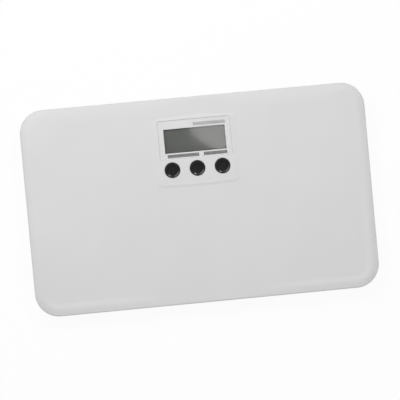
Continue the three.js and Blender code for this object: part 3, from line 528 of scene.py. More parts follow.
@dataclass(frozen=True)
class Finish:
    """A moulded, cast or drawn surface: a colour that drifts, and a grain in its gloss and relief.

    Attributes:
        name: what the material is called.
        slot: the record's material slot.
        colour: the middle colour, in sRGB levels.
        drift: by what share the colour drifts to either side.
        drift_size: how large the drifting patches are.
        roughness: the middle roughness.
        uneven: how much the roughness varies to either side.
        grain: the size of the grain.
        depth: how deep the grain is.
        metallic: 1 for bare metal.
        coat: the weight of a clear layer over it.
        mirror: how strongly it reflects, 0.5 for common plastic.
        stretch: how much longer the grain is along each axis.
    """

    name: str
    slot: str
    colour: tuple[int, int, int]
    drift: float = 0.015
    drift_size: float = 90.0
    roughness: float = 0.45
    uneven: float = 0.05
    grain: float = 0.5
    depth: float = 0.004
    metallic: float = 0.0
    coat: float = 0.0
    mirror: float = 0.5
    stretch: Point = (1, 1, 1)

    def material(self) -> bpy.types.Material:
        """Returns the finish as a material, made once."""
        found = bpy.data.materials.get(self.name)
        return found or self.make()

    def make(self) -> bpy.types.Material:
        """Returns a new material for the finish."""
        nodes = Nodes(self.name)
        base = linear_colour(self.colour)
        patches = nodes.spread(nodes.noise(self.drift_size), 0, 1)
        low = [value * (1 - self.drift) for value in base]
        high = [min(1.0, value * (1 + self.drift)) for value in base]
        nodes.feed(nodes.shader, {
            "Base Color": nodes.blend(patches, low, high), "Metallic": self.metallic,
            "Coat Weight": self.coat, "Specular IOR Level": self.mirror,
        })
        grain = nodes.noise(self.grain, self.stretch)
        return self.texture(nodes, grain, grain)

    def texture(
        self, nodes: Nodes, gloss: bpy.types.NodeSocket, height: bpy.types.NodeSocket,
    ) -> bpy.types.Material:
        """Gives the shader its uneven gloss and its relief.

        Args:
            nodes: the material's nodes.
            gloss: the noise that the roughness follows.
            height: what the relief follows.

        Returns:
            The material.
        """
        rough = nodes.spread(gloss, self.roughness - self.uneven, self.roughness + self.uneven)
        bump = nodes.add("ShaderNodeBump", {"Distance": self.depth * MM, "Height": height})
        nodes.feed(nodes.shader, {"Roughness": rough, "Normal": bump.outputs["Normal"]})
        return nodes.material


@dataclass(frozen=True)
class ClearFinish(Finish):
    """Clear acrylic, which lets light straight through to what lies under it."""

    index: float = 1.49

    def make(self) -> bpy.types.Material:
        """Returns a clear material with faint waviness, open to light and shadow rays."""
        nodes = Nodes(self.name)
        nodes.feed(nodes.shader, {
            "Base Color": (*linear_colour(self.colour), 1), "Transmission Weight": 1, "IOR": self.index,
        })
        rays = nodes.add("ShaderNodeLightPath").outputs
        open_ray = nodes.greater(rays["Is Shadow Ray"], rays["Is Diffuse Ray"])
        through = nodes.add("ShaderNodeBsdfTransparent").outputs["BSDF"]
        surface = nodes.layer(open_ray, nodes.shader.outputs["BSDF"], through)
        nodes.feed(nodes.output, {"Surface": surface})
        return self.texture(nodes, nodes.noise(self.drift_size), nodes.noise(self.grain))


@dataclass(frozen=True)
class BoardFinish(Finish):
    """Lacquered circuit board, with copper tracks that show through as paler lines."""

    track: tuple[int, int, int] = (96, 150, 92)
    pitch: float = 5.0
    track_share: float = 0.12

    def make(self) -> bpy.types.Material:
        """Returns the board's material."""
        nodes = Nodes(self.name)
        board = (*linear_colour(self.colour), 1)
        bricks = nodes.add("ShaderNodeTexBrick", {
            "Vector": nodes.place, "Color1": board, "Color2": board,
            "Mortar": (*linear_colour(self.track), 1), "Scale": 1 / (self.pitch * MM),
            "Mortar Size": self.track_share / 2, "Mortar Smooth": self.track_share,
        })
        nodes.feed(nodes.shader, {"Base Color": bricks.outputs["Color"]})
        return self.texture(nodes, nodes.noise(self.drift_size), bricks.outputs["Fac"])


@dataclass(frozen=True)
class JacketFinish(Finish):
    """A battery's printed jacket: one colour, with a band of another towards its plus end."""

    band: tuple[int, int, int] = (176, 132, 72)
    band_from: float = 34.0
    band_blur: float = 0.3

    def make(self) -> bpy.types.Material:
        """Returns the jacket's material, banded along the cell's own axis."""
        nodes = Nodes(self.name)
        along = nodes.add("ShaderNodeSeparateXYZ", {"Vector": nodes.place}).outputs["Z"]
        share = nodes.ranged(along, 0, 1, self.band_from * MM, (self.band_from + self.band_blur) * MM)
        banded = nodes.blend(share, linear_colour(self.colour), linear_colour(self.band))
        nodes.feed(nodes.shader, {"Base Color": banded, "Metallic": self.metallic})
        scuff = nodes.noise(self.grain, self.stretch)
        return self.texture(nodes, scuff, scuff)


SHELL = Finish("shell_white", "white_shell", (214, 213, 213), roughness=0.52, grain=0.45, depth=0.003)
PRINT = Finish(
    "printed_white", "white_shell", (217, 216, 216), drift=0.008, roughness=0.5, uneven=0.02, depth=0.001,
)
CLEAR = ClearFinish(
    "window_clear", "cover_panel", (252, 252, 252), roughness=0.03, uneven=0.01, grain=12.0, depth=0.002,
    drift_size=30.0,
)
OVERLAY = replace(CLEAR, name="overlay_matt", roughness=0.38, uneven=0.03, grain=0.3)
INK = Finish(
    "printed_black", "black_key", (30, 30, 31), drift=0.05, roughness=0.35, grain=0.3, depth=0.001,
)
PALE_INK = replace(INK, name="printed_grey", colour=(98, 98, 98))
# This dark ink is painted shade: it lies inside the window's edge and stands in for the shadow that the
# deep window edge casts on the display below.
EDGE_SHADE_PAINT = replace(INK, name="painted_edge_shade", colour=(38, 40, 38), roughness=0.4)
KEY = Finish(
    "key_black", "black_key", (24, 24, 25), drift=0.06, drift_size=9.0, roughness=0.18, grain=0.25,
    mirror=0.35,
)
POLARISER = Finish(
    "display_film", "display_glass", (88, 90, 86), drift=0.04, drift_size=26.0, roughness=0.4, uneven=0.04,
    grain=0.2, depth=0.0005, coat=1.0, mirror=0.1,
)
GLASS_EDGE = Finish(
    "display_glass_edge", "display_glass", (120, 138, 130), drift=0.04, roughness=0.12, uneven=0.04,
    coat=0.5,
)
HOLDER = Finish(
    "inner_plastic", "inner_plastic", (196, 196, 190), drift=0.02, drift_size=20.0, roughness=0.55,
)
FOOT = Finish(
    "foot_plastic", "foot_plastic", (205, 205, 201), drift=0.02, drift_size=25.0, roughness=0.5, grain=0.4,
)
RUBBER = Finish(
    "grey_rubber", "grey_rubber", (74, 74, 76), drift=0.08, drift_size=7.0, roughness=0.78, uneven=0.08,
    grain=0.35, depth=0.02,
)
STEEL = Finish(
    "plated_steel", "steel", (188, 190, 192), drift=0.04, drift_size=8.0, roughness=0.3, uneven=0.07,
    grain=0.15, depth=0.0015, metallic=1.0, stretch=(8, 1, 1),
)
BOARD = BoardFinish("circuit_board", "circuit_board", (38, 96, 54), roughness=0.4, depth=0.03)
CHIP = Finish(
    "chip_case", "chip_case", (33, 33, 34), drift=0.05, drift_size=5.0, roughness=0.6, grain=0.2,
)
JACKET = JacketFinish(
    "battery_jacket", "battery_jacket", (62, 74, 86), roughness=0.3, uneven=0.06, grain=1.2, depth=0.002,
    metallic=0.25, stretch=(1, 1, 9),
)
RED_LEAD = Finish(
    "red_lead", "red_lead", (158, 42, 36), drift=0.05, drift_size=6.0, roughness=0.5, grain=0.3,
)
BLACK_LEAD = replace(RED_LEAD, name="black_lead", slot="black_lead", colour=(37, 37, 38), drift=0.06)


def place(piece: bpy.types.Object, body: str, finish: Finish, *nodes: str) -> bpy.types.Object:
    """Shades a made piece, puts it on its body and hides the CAD nodes that it stands for.

    Args:
        piece: the made piece.
        body: the CAD body that it moves with.
        finish: not used.
        nodes: the CAD nodes that it replaces.

    Returns:
        The piece.
    """
    Shaping.shade(piece)
    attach(piece, body)
    if nodes:
        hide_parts(*nodes)
    return piece


def make(draft: Draft, name: str, body: str, finish: Finish, *nodes: str) -> bpy.types.Object:
    """Makes a piece of one finish from a draft and places it.

    Args:
        draft: the drawn piece.
        name: what it is called.
        body: the CAD body that it moves with.
        finish: its finish.
        nodes: the CAD nodes that it replaces.

    Returns:
        The piece.
    """
    return place(draft.build(name, [finish.material()]), body, finish, *nodes)


def dress(node: str, finish: Finish, edge: float) -> None:
    """Keeps a CAD node, with its edges rounded and a finish of its own.

    Args:
        node: the CAD node's name.
        finish: its finish.
        edge: the width of its rounded edges, 0 for none.
    """
    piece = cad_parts[node]
    piece.data.materials.clear()
    piece.data.materials.append(finish.material())
    weld = piece.modifiers.new("weld", "WELD")
    weld.merge_threshold = Shaping.WELD * MM
    if edge:
        Shaping.soften(piece, edge)
    Shaping.weigh(piece)


def rounded_rectangle(
    x: float, y: float, size_x: float, size_y: float, radius: float, steps: int = 8,
) -> list[Spot]:
    """Returns a rectangle with round corners.

    Args:
        x: its middle along X.
        y: its middle along Y.
        size_x: its size along X.
        size_y: its size along Y.
        radius: its corners' radius.
        steps: how many steps each corner has.

    Returns:
        Its points, anticlockwise.
    """
    shape = []
    for quarter, (side_x, side_y) in enumerate(((1, 1), (-1, 1), (-1, -1), (1, -1))):
        for step in range(steps + 1):
            angle = TURN / 4 * (quarter + step / steps)
            shape.append((
                x + side_x * (size_x / 2 - radius) + radius * math.cos(angle),
                y + side_y * (size_y / 2 - radius) + radius * math.sin(angle),
            ))
    return shape


def flared(
    shape: Callable[[float], list[Spot]], z0: float, z1: float, mouth: float, flare: float,
) -> list[Ring]:
    """Returns the rings of a cutter that flares by 45 degrees where it leaves a surface.

    Args:
        shape: gives the plan outline for a growth in millimetres.
        z0: the lower end.
        z1: the upper end.
        mouth: the surface's height.
        flare: the chamfer's width at the surface.

    Returns:
        The rings, from the inner end to the outer one.
    """
    return [at_height(shape(growth), z) for growth, z in flare_levels(z0, z1, mouth, flare)]


@dataclass
class Platform:
    """The platform's outline and the surface of its deck, shared by both covers."""

    island_rise: float = 0.9
    panel_depth: float = 0.1
    parting: float = 24.0
    parting_gap: float = 0.4
    corner_radius: float = 38.0
    edge_round: float = 2.4
    edge_drop: float = 4.0
    edge_power: float = 2.2
    inner_round: float = 4.5
    shoulder_narrow: float = 7.0
    shoulder_side: float = 14.0
    shoulder_back: float = 25.0
    shoulder_back_run: float = 60.0
    side_fall: float = 0.58
    back_fall: float = 0.16
    front_fall: float = 0.08
    rim_height: float = 1.0
    rim_width: float = 22.0
    rim_fade_start: float = 40.0
    rim_fade_end: float = 180.0
    rim_fade_back: float = 20.0
    rim_fade_front: float = -80.0
    back_rim_height: float = 0.6
    back_rim_start: float = 60.0
    back_rim_end: float = 130.0
    arch_half_width: float = 69.0
    arch_depth: float = 21.0
    corner_steps: int = 24
    long_steps: int = 48
    short_steps: int = 26
    box: NodeBox = field(default_factory=lambda: NodeBox.of("top_cover"))

    def __post_init__(self) -> None:
        """Works out the heights and the edge points."""
        self.half_length = self.box.size.x / 2
        self.half_width = self.box.size.y / 2
        self.island_top = NodeBox.of("lens_panel").high.z + self.panel_depth
        self.deck = self.island_top - self.island_rise
        self.edge = self.outline()

    def outline(self) -> list[tuple[float, float, float, float]]:
        """Returns the edge's points, anticlockwise, each with its outward direction."""
        radius = self.corner_radius
        length, width = self.half_length, self.half_width
        run_x, run_y = length - radius, width - radius
        sides = (
            (length, -run_y, length, run_y, 1, 0, self.short_steps),
            (run_x, width, -run_x, width, 0, 1, self.long_steps),
            (-length, run_y, -length, -run_y, -1, 0, self.short_steps),
            (-run_x, -width, run_x, -width, 0, -1, self.long_steps),
        )
        points = []
        for quarter, (x0, y0, x1, y1, out_x, out_y, steps) in enumerate(sides):
            for step in range(steps + 1):
                points.append((mix(x0, x1, step / steps), mix(y0, y1, step / steps), out_x, out_y))
            for step in range(1, self.corner_steps):
                angle = TURN / 4 * (quarter + step / self.corner_steps)
                across, along = math.cos(angle), math.sin(angle)
                x = x1 - radius * out_x + radius * across
                y = y1 - radius * out_y + radius * along
                points.append((x, y, across, along))
        return points

    def ring(self, depth: float, height: float | Callable[[float, float, float], float]) -> Ring:
        """Returns the outline drawn in by a depth, at a height or at one that follows the place."""
        made = []
        for x, y, out_x, out_y in self.edge:
            z = height(x, y, depth) if callable(height) else height
            made.append((x - out_x * depth, y - out_y * depth, z))
        return made

    def shoulder_width(self, x: float, y: float) -> float:
        """Returns how wide the shoulder is at a point of the edge."""
        if y < 0:
            outward = ease(self.rim_fade_start, self.rim_fade_end, abs(x))
            return mix(self.shoulder_narrow, self.shoulder_side, outward)
        arch = mix(self.shoulder_narrow, self.arch_depth, (x / self.arch_half_width) ** 2)
        backward = ease(self.half_width - self.shoulder_back_run, self.half_width, y)
        return min(arch, mix(self.shoulder_side, self.shoulder_back, backward))

    def shoulder_fall(self, x: float, y: float) -> float:
        """Returns how steep the shoulder is at a point of the edge."""
        sideward = ease(self.half_length - self.corner_radius, self.half_length, abs(x))
        narrowing = min(1.0, self.shoulder_side / self.shoulder_width(x, y))
        return mix(self.front_fall if y < 0 else self.back_fall, self.side_fall * narrowing, sideward)

    def rim_rise(self, x: float, y: float) -> float:
        """Returns how high the tray's rim stands at a point of the edge."""
        front = ease(self.rim_fade_start, self.rim_fade_end, abs(x))
        front *= ease(self.rim_fade_back, self.rim_fade_front, y)
        back = ease(self.rim_fade_end, self.half_length, abs(x))
        back *= ease(self.back_rim_start, self.back_rim_end, y)
        return self.rim_height * front + self.back_rim_height * back

    def surface(self, x: float, y: float, depth: float) -> float:
        """Returns the deck's height at a depth from a point of the edge."""
        edge = self.edge_drop * max(0.0, 1 - depth / self.edge_round) ** self.edge_power
        width = self.shoulder_width(x, y)
        shoulder = self.shoulder_fall(x, y) * width / 2 * max(0.0, 1 - depth / width) ** 2
        rim = 0.0
        if depth < self.rim_width:
            rim = self.rim_rise(x, y) * math.sin(math.pi * depth / self.rim_width) ** 2
        return self.deck - edge - shoulder + rim


@dataclass
class Island:
    """The gently raised panel round the display and the keys, with wide soft slopes at its sides."""

    platform: Platform
    half_width: float = 70.0
    back: float = 135.5
    front: float = 21.1
    side_slope: float = 11.8
    end_slope: float = 4.9
    back_sagitta: float = 4.2
    front_sagitta: float = 2.4
    foot_corner: float = 12.0
    top_corner: float = 4.0
    slope_softness: float = 0.2
    root: float = 1.5
    bead: float = 0.2
    bead_width: float = 3.0
    bead_fade_start: float = 30.0
    bead_fade_end: float = 60.0
    arc_steps: int = 40
    corner_steps: int = 12
    slope_steps: int = 15
    bead_steps: int = 6

    def shape(self, share: float, inset: float = 0.0) -> list[Spot]:
        """Returns the outline a share of the way up the slopes, with bowed back and front.

        Args:
            share: 0 at the slopes' foot, 1 at their top.
            inset: how far the outline is drawn in from there.
        """
        half = self.half_width - self.side_slope * share - inset
        back = self.back - self.end_slope * share - inset
        front = self.front + self.end_slope * share + inset
        corner = mix(self.foot_corner, self.top_corner, share)
        reach = half - corner
        points: list[Spot] = []

        def drop(x: float) -> float:
            """Returns how much of the bow is gone at a distance from the middle."""
            return (x / self.half_width) ** 2

        def bend(x: float, y: float, quarter: int) -> None:
            """Adds a corner's points about its centre."""
            for step in range(self.corner_steps):
                angle = TURN / 4 * (quarter + step / self.corner_steps)
                points.append((x + corner * math.cos(angle), y + corner * math.sin(angle)))

        def bow(start: float, end: float, y: float, sagitta: float) -> None:
            """Adds a bowed stretch's points."""
            for step in range(self.arc_steps + 1):
                x = mix(start, end, step / self.arc_steps)
                points.append((x, y - sagitta * drop(x)))

        back_side = back - self.back_sagitta * drop(reach) - corner
        front_side = front + self.front_sagitta * drop(reach) + corner
        bend(reach, back_side, 0)
        bow(reach, -reach, back, self.back_sagitta)
        bend(-reach, back_side, 1)
        bend(-reach, front_side, 2)
        bow(-reach, reach, front, -self.front_sagitta)
        bend(reach, front_side, 3)
        return points

    def ramp(self, share: float) -> float:
        """Returns the height share of an even slope with soft ends."""
        soft = self.slope_softness
        end = min(share, 1 - share)
        if end >= soft:
            return (share - soft / 2) / (1 - soft)
        rise = end * end / (2 * soft * (1 - soft))
        return rise if share < soft else 1 - rise

    def ring(self, share: float, rise: float, bead: float = 0.0, inset: float = 0.0) -> Ring:
        """Returns the outline a share of the way up the slopes, at its height.

        Args:
            share: 0 at the slopes' foot, 1 at their top.
            rise: the height above the deck as a share of the island's.
            bead: the share of the front bead's height that is added.
            inset: how far the outline is drawn in.
        """
        base = mix(self.platform.deck, self.platform.island_top, rise)
        made = []
        for x, y in self.shape(share, inset):
            fade = 1 - ease(self.bead_fade_start, self.bead_fade_end, y)
            made.append((x, y, base + self.bead * bead * fade))
        return made

    def body(self) -> Draft:
        """Returns the island's body, with soft slopes and a faint bead along its front."""
        rings = [at_height(self.shape(0), self.platform.deck - self.root)]
        for step in range(self.slope_steps + 1):
            share = step / self.slope_steps
            rise = self.ramp(share)
            rings.append(self.ring(share, rise, rise))
        for step in range(1, self.bead_steps + 1):
            share = step / self.bead_steps
            rings.append(self.ring(1, 1, 1 - ease(0, 1, share), self.bead_width * share))
        return Draft().loft(rings)


@dataclass
class Window:
    """The cover panel's plan and the window in it, through which the display shows."""

    length: float = 97.8
    width: float = 38.4
    back_border: float = 13.25
    corner: float = 0.5
    panel_corner: float = 2.0
    panel: NodeBox = field(default_factory=lambda: NodeBox.of("lens_panel"))

    @property
    def y(self) -> float:
        """The window's middle along Y."""
        return self.panel.high.y - self.back_border - self.width / 2

    def opening(self, growth: float, corner: float) -> list[Spot]:
        """Returns the window's outline, grown to every side, with a corner radius."""
        return rounded_rectangle(0, self.y, self.length + 2 * growth, self.width + 2 * growth, corner)

    def outline(self, growth: float) -> list[Spot]:
        """Returns the panel's outline, grown to every side."""
        size = self.panel.size
        return rounded_rectangle(
            0, self.panel.middle.y, size.x + 2 * growth, size.y + 2 * growth, self.panel_corner + growth,
        )


@dataclass
class TopCover:
    """The white top cover: a thin shell with the display's island, its openings, ribs and bosses."""

    platform: Platform
    island: Island
    window: Window
    wall: float = 2.6
    seat_gap: float = 0.3
    key_gap: float = 0.4
    sight_margin: float = 0.75
    lens_bed: float = 0.1
    mouth_flare: float = 0.25
    parting_round: float = 0.3
    rib_thickness: float = 1.8
    rib_height: float = 5.0
    rib_inset: float = 20.0
    rib_island_gap: float = 7.0
    outer_rib_share: float = 0.7
    long_rib_shares: tuple[float, float] = (-0.5, 0.0)
    boss_radius: float = 5.0
    boss_foot: float = 17.7
    pilot_radius: float = 1.9
    board_boss_radius: float = 3.4
    board_pilot_radius: float = 1.4
    overrun: float = 2.0
    embed: float = 0.6
    edge_rings: int = 12
    edge_crowding: float = 1.6
    round_from: float = 0.7
    deck_rings: int = 20
    hole_sides: int = 96
    small_sides: int = 32

    def skin(self) -> Draft:
        """Returns the outer body, from the parting line over the edge to the flat deck."""
        form = self.platform
        flat = max(form.shoulder_back, form.rim_width)
        shares = [(step / self.edge_rings) ** self.edge_crowding for step in range(self.edge_rings)]
        depths = [form.edge_round * share for share in shares]
        for step in range(self.deck_rings + 1):
            depths.append(mix(form.edge_round, flat, step / self.deck_rings))
        foot = form.ring(self.parting_round, form.parting)
        side = form.ring(0, form.parting + self.parting_round)
        return Draft().loft([foot, side, *(form.ring(depth, form.surface) for depth in depths)])

    def hollow(self) -> Draft:
        """Returns the room inside the cover."""
        form = self.platform
        ceiling = form.deck - self.wall
        mouth = form.parting - self.overrun
        start = mix(mouth, ceiling, self.round_from)
        rings = [form.ring(self.wall, mouth)]
        for cosine, sine in quarter_turn(self.edge_rings):
            depth = self.wall + form.inner_round * (1 - cosine)
            rings.append(form.ring(depth, mix(start, ceiling, sine)))
        return Draft().loft(rings)

    def ribs(self, ceiling: float) -> Iterable[Draft]:
        """Yields the ribs under the deck, those that cross in separate drafts."""
        form = self.platform
        bottom = ceiling - self.rib_height
        outer = form.half_length * self.outer_rib_share
        inner = self.island.half_width + self.rib_island_gap
        across = Draft()
        for x in (-outer, -inner, inner, outer):
            across.block_at(
                x, 0, self.rib_thickness, 2 * (form.half_width - self.rib_inset), bottom,
                ceiling + self.embed,
            )
        yield across
        along = Draft()
        for share in self.long_rib_shares:
            along.block_at(
                0, form.half_width * share, 2 * (form.half_length - self.rib_inset), self.rib_thickness,
                bottom, ceiling + self.embed,
            )
        yield along

    def bosses(self, ceiling: float) -> tuple[Draft, Draft]:
        """Returns the screws' bosses and the pilot holes in them.

        Args:
            ceiling: the height of the deck's inner face.

        Returns:
            The bosses and the holes.
        """
        bosses = Draft()
        pilots = Draft()
        for box in Fasteners.boxes("case_screw"):
            x, y = box.middle.x, box.middle.y
            bosses.disc(x, y, self.boss_radius, self.boss_foot, ceiling + self.embed, self.small_sides)
            pilots.bore(
                x, y, self.pilot_radius, self.boss_foot - self.overrun, box.high.z + self.seat_gap,
                self.boss_foot, self.mouth_flare, self.small_sides,
            )
        foot = NodeBox.of("main_board").high.z + self.seat_gap
        for box in Fasteners.boxes("board_screw"):
            x, y = box.middle.x, box.middle.y
            bosses.disc(x, y, self.board_boss_radius, foot, ceiling + self.embed, self.small_sides)
            pilots.bore(
                x, y, self.board_pilot_radius, foot - self.overrun, box.high.z + self.seat_gap, foot,
                self.mouth_flare, self.small_sides,
            )
        return bosses, pilots

    def openings(self, lens_floor: float, ceiling: float) -> Iterable[Draft]:
        """Yields what is cut out of the island: the panel's seat, then the sight hole and the keys' bores.

        Args:
            lens_floor: the height of the seat's floor.
            ceiling: the height of the deck's inner face.
        """
        top = self.platform.island_top
        yield Draft().loft(flared(
            lambda growth: self.window.outline(self.seat_gap + growth), lens_floor, top + self.overrun, top,
            self.mouth_flare,
        ))
        sight = Draft().prism(
            self.window.opening(self.sight_margin, self.window.panel_corner), ceiling - self.overrun,
            lens_floor + self.overrun,
        )
        for key in Keypad.names:
            box = NodeBox.of(f"key_cap_{key}")
            sight.bore(
                box.middle.x, box.middle.y, Keypad.radius + self.key_gap, ceiling - 2 * self.overrun,
                top + self.overrun, top, self.mouth_flare, self.hole_sides,
            )
        yield sight

    def build(self) -> list[bpy.types.Object]:
        """Makes the cover, which stands for the CAD top cover."""
        ceiling = self.platform.deck - self.wall
        lens_floor = self.window.panel.low.z - self.lens_bed
        cover = self.skin().build("top_shell", [SHELL.material()])
        Shaping.carve(cover, Carve.CUT, self.hollow())
        bosses, pilots = self.bosses(ceiling)
        for body in (self.island.body(), *self.ribs(ceiling), bosses):
            Shaping.carve(cover, Carve.JOIN, body)
        for room in (pilots, *self.openings(lens_floor, ceiling)):
            Shaping.carve(cover, Carve.CUT, room)
        return [place(cover, "root", SHELL, "top_cover")]


@dataclass
class CoverPanel:
    """The clear cover panel: printed white on its back around the window, with marks in the print and a
    band of painted shade inside the window's edge.
    """

    window: Window
    print_thickness: float = 0.1
    ink_thickness: float = 0.03
    clear_lift: float = 0.15
    edge_radius: float = 0.25
    print_inset: float = 0.15
    round_steps: int = 4
    edge_shade_width: float = 1.2
    border_gap: float = 0.02
    tick_height: float = 5.3
    tick_width: float = 2.0
    tick_pitch: float = 2.5
    tick_gap: float = 2.2
    tick_runs: tuple[tuple[float, int], tuple[float, int]] = ((-44.0, 20), (13.4, 15))
    bar_from: float = 0.6
    bar_count: int = 17
    bar_pitch: float = 3.0
    bar_width: float = 1.55
    bar_height: float = 5.3
    bar_gap: float = 2.5

    def clear_sheet(self) -> bpy.types.Object:
        """Makes the clear sheet, glossy over the window and matt on top around it."""
        window = self.window
        top = window.panel.high.z
        low = window.panel.low.z + self.clear_lift
        pane = window.opening(-self.border_gap, window.corner)
        opening = window.opening(0, window.corner)
        levels = [(pane, low), (opening, low), (window.outline(0), low)]
        for cosine, sine in quarter_turn(self.round_steps):
            edge = window.outline(-self.edge_radius * (1 - cosine))
            levels.append((edge, top - self.edge_radius * (1 - sine)))
        levels += [(opening, top), (pane, top)]
        matt = [0] * (len(levels) - 1)
        matt[-2] = 1
        draft = Draft().loft([at_height(shape, z) for shape, z in levels], finishes=matt)
        sheet = draft.build("cover_panel_clear", [CLEAR.material(), OVERLAY.material()])
        return place(sheet, "root", CLEAR, "lens_panel")

    def print_and_shade_frame(
        self, name: str, finish: Finish, outer: list[Spot], inner: list[Spot],
    ) -> bpy.types.Object:
        """Makes a thin frame on the panel's back, used for the white print and for the band of painted
        shade at the window's edge.

        Args:
            name: the object's name.
            finish: the frame's finish.
            outer: its outer outline.
            inner: its inner outline.
        """
        low = self.window.panel.low.z
        high = low + self.print_thickness
        sides = ((outer, low), (outer, high), (inner, high), (inner, low))
        draft = Draft().loft([at_height(shape, z) for shape, z in sides], looped=True)
        return make(draft, name, "root", finish)

    def print_and_shade_layers(self) -> list[bpy.types.Object]:
        """Makes the white print around the window and a dark band along the window's edge, which is painted
        shade for the shadow that the deep window edge casts on the display.
        """
        window = self.window
        outline = window.outline(-self.print_inset)
        opening, edge, inner = (
            window.opening(growth, window.corner)
            for growth in (0, -self.border_gap, -self.border_gap - self.edge_shade_width)
        )
        return [
            self.print_and_shade_frame("cover_panel_print", PRINT, outline, opening),
            self.print_and_shade_frame("cover_panel_edge_shade", EDGE_SHADE_PAINT, edge, inner),
        ]

    def ticks(self) -> bpy.types.Object:
        """Makes the rows of black tick marks under the window."""
        z0 = self.window.panel.low.z + self.print_thickness
        top = self.window.y - self.window.width / 2 - self.tick_gap
        draft = Draft()
        for start, count in self.tick_runs:
            for tick in range(count):
                draft.block_at(
                    start + tick * self.tick_pitch, top - self.tick_height / 2, self.tick_width,
                    self.tick_height, z0, z0 + self.ink_thickness,
                )
        return make(draft, "cover_panel_ticks", "root", INK)

    def bars(self) -> bpy.types.Object:
        """Makes the row of slim grey bars over the window."""
        z0 = self.window.panel.low.z + self.print_thickness
        bottom = self.window.y + self.window.width / 2 + self.bar_gap
        draft = Draft()
        for bar in range(self.bar_count):
            draft.block_at(
                self.bar_from + bar * self.bar_pitch, bottom + self.bar_height / 2, self.bar_width,
                self.bar_height, z0, z0 + self.ink_thickness,
            )
        return make(draft, "cover_panel_bars", "root", PALE_INK)

    def build(self) -> list[bpy.types.Object]:
        """Makes the panel's pieces."""
        return [self.clear_sheet(), *self.print_and_shade_layers(), self.ticks(), self.bars()]


@dataclass
class Display:
    """The display: two bonded glasses with a grey film on top, in their frame."""

    film_inset: float = 0.8
    film_thickness: float = 0.15
    ledge: float = 3.0
    glass_edge: float = 0.12
    frame_edge: float = 0.3
    strip_edge: float = 0.25

    def build(self) -> list[bpy.types.Object]:
        """Makes the glasses and the film, and dresses the frame and the connector."""
        box = NodeBox.of("lcd_glass")
        low, high = box.low, box.high
        middle = (low.z + high.z - self.film_thickness) / 2
        glass = Draft().block(low.x, high.x, low.y, high.y, low.z, middle)
        glass.block(low.x, high.x, low.y + self.ledge, high.y, middle, high.z - self.film_thickness)
        plates = glass.build("display_glass_plates", [GLASS_EDGE.material()])
        Shaping.soften(plates, self.glass_edge)
        film = Draft().block(
            low.x + self.film_inset, high.x - self.film_inset, low.y + self.ledge + self.film_inset,
            high.y - self.film_inset, high.z - self.film_thickness, high.z,
        )
        dress("lcd_holder", HOLDER, self.frame_edge)
        dress("zebra_strip", RUBBER, self.strip_edge)
        return [
            place(plates, "root", GLASS_EDGE, "lcd_glass"),
            make(film, "display_film_sheet", "root", POLARISER),
        ]


@dataclass
class Keypad:
    """The three round keys, each a dished cap on its stem over a switch."""

    names = ("left", "middle", "right")
    radius = 12.1

    flange_low: float = 39.7
    flange_high: float = 41.1
    stem_radius: float = 4.0
    corner_round: float = 0.2
    rim_round: float = 1.1
    dish_depth: float = 0.9
    dish_power: float = 5.4
    dish_crowding: float = 1.4
    dish_steps: int = 18
    round_steps: int = 8
    sides: int = 96
    switch_edge: float = 0.3
    plunger_edge: float = 0.35

    def profile(self, box: NodeBox) -> list[Spot]:
        """Returns a cap's profile, from the stem's foot to the middle of the dish."""
        top = box.high.z
        flange = box.size.x / 2
        bend = self.corner_round
        points = [
            (0, box.low.z), (self.stem_radius - bend, box.low.z), (self.stem_radius, box.low.z + bend),
            (self.stem_radius, self.flange_low), (flange - bend, self.flange_low),
            (flange, self.flange_low + bend), (flange, self.flange_high - bend),
            (flange - bend, self.flange_high), (self.radius, self.flange_high),
        ]
        for cosine, sine in quarter_turn(self.round_steps):
            points.append((self.radius - self.rim_round * (1 - cosine), top - self.rim_round * (1 - sine)))
        rim = self.radius - self.rim_round
        for step in range(1, self.dish_steps + 1):
            across = 1 - (step / self.dish_steps) ** self.dish_crowding
            points.append((rim * across, top - self.dish_depth * (1 - across ** self.dish_power)))
        return points

    def build(self) -> list[bpy.types.Object]:
        """Makes the caps, and dresses the switches and their plungers."""
        made = []
        for name in self.names:
            box = NodeBox.of(f"key_cap_{name}")
            cap = Draft().lathe(box.middle.x, box.middle.y, self.profile(box), self.sides)
            made.append(make(cap, f"key_{name}_dished", f"key_{name}", KEY, f"key_cap_{name}"))
            dress(f"tact_switch_{name}", CHIP, self.switch_edge)
            dress(f"switch_plunger_{name}", HOLDER, self.plunger_edge)
        return made


@dataclass
class Circuit:
    """The circuit board with its chip."""

    board_edge: float = 0.15
    chip_edge: float = 0.12

    def build(self) -> list[bpy.types.Object]:
        """Dresses the board and the chip."""
        dress("main_board", BOARD, self.board_edge)
        dress("controller_chip", CHIP, self.chip_edge)
        return []


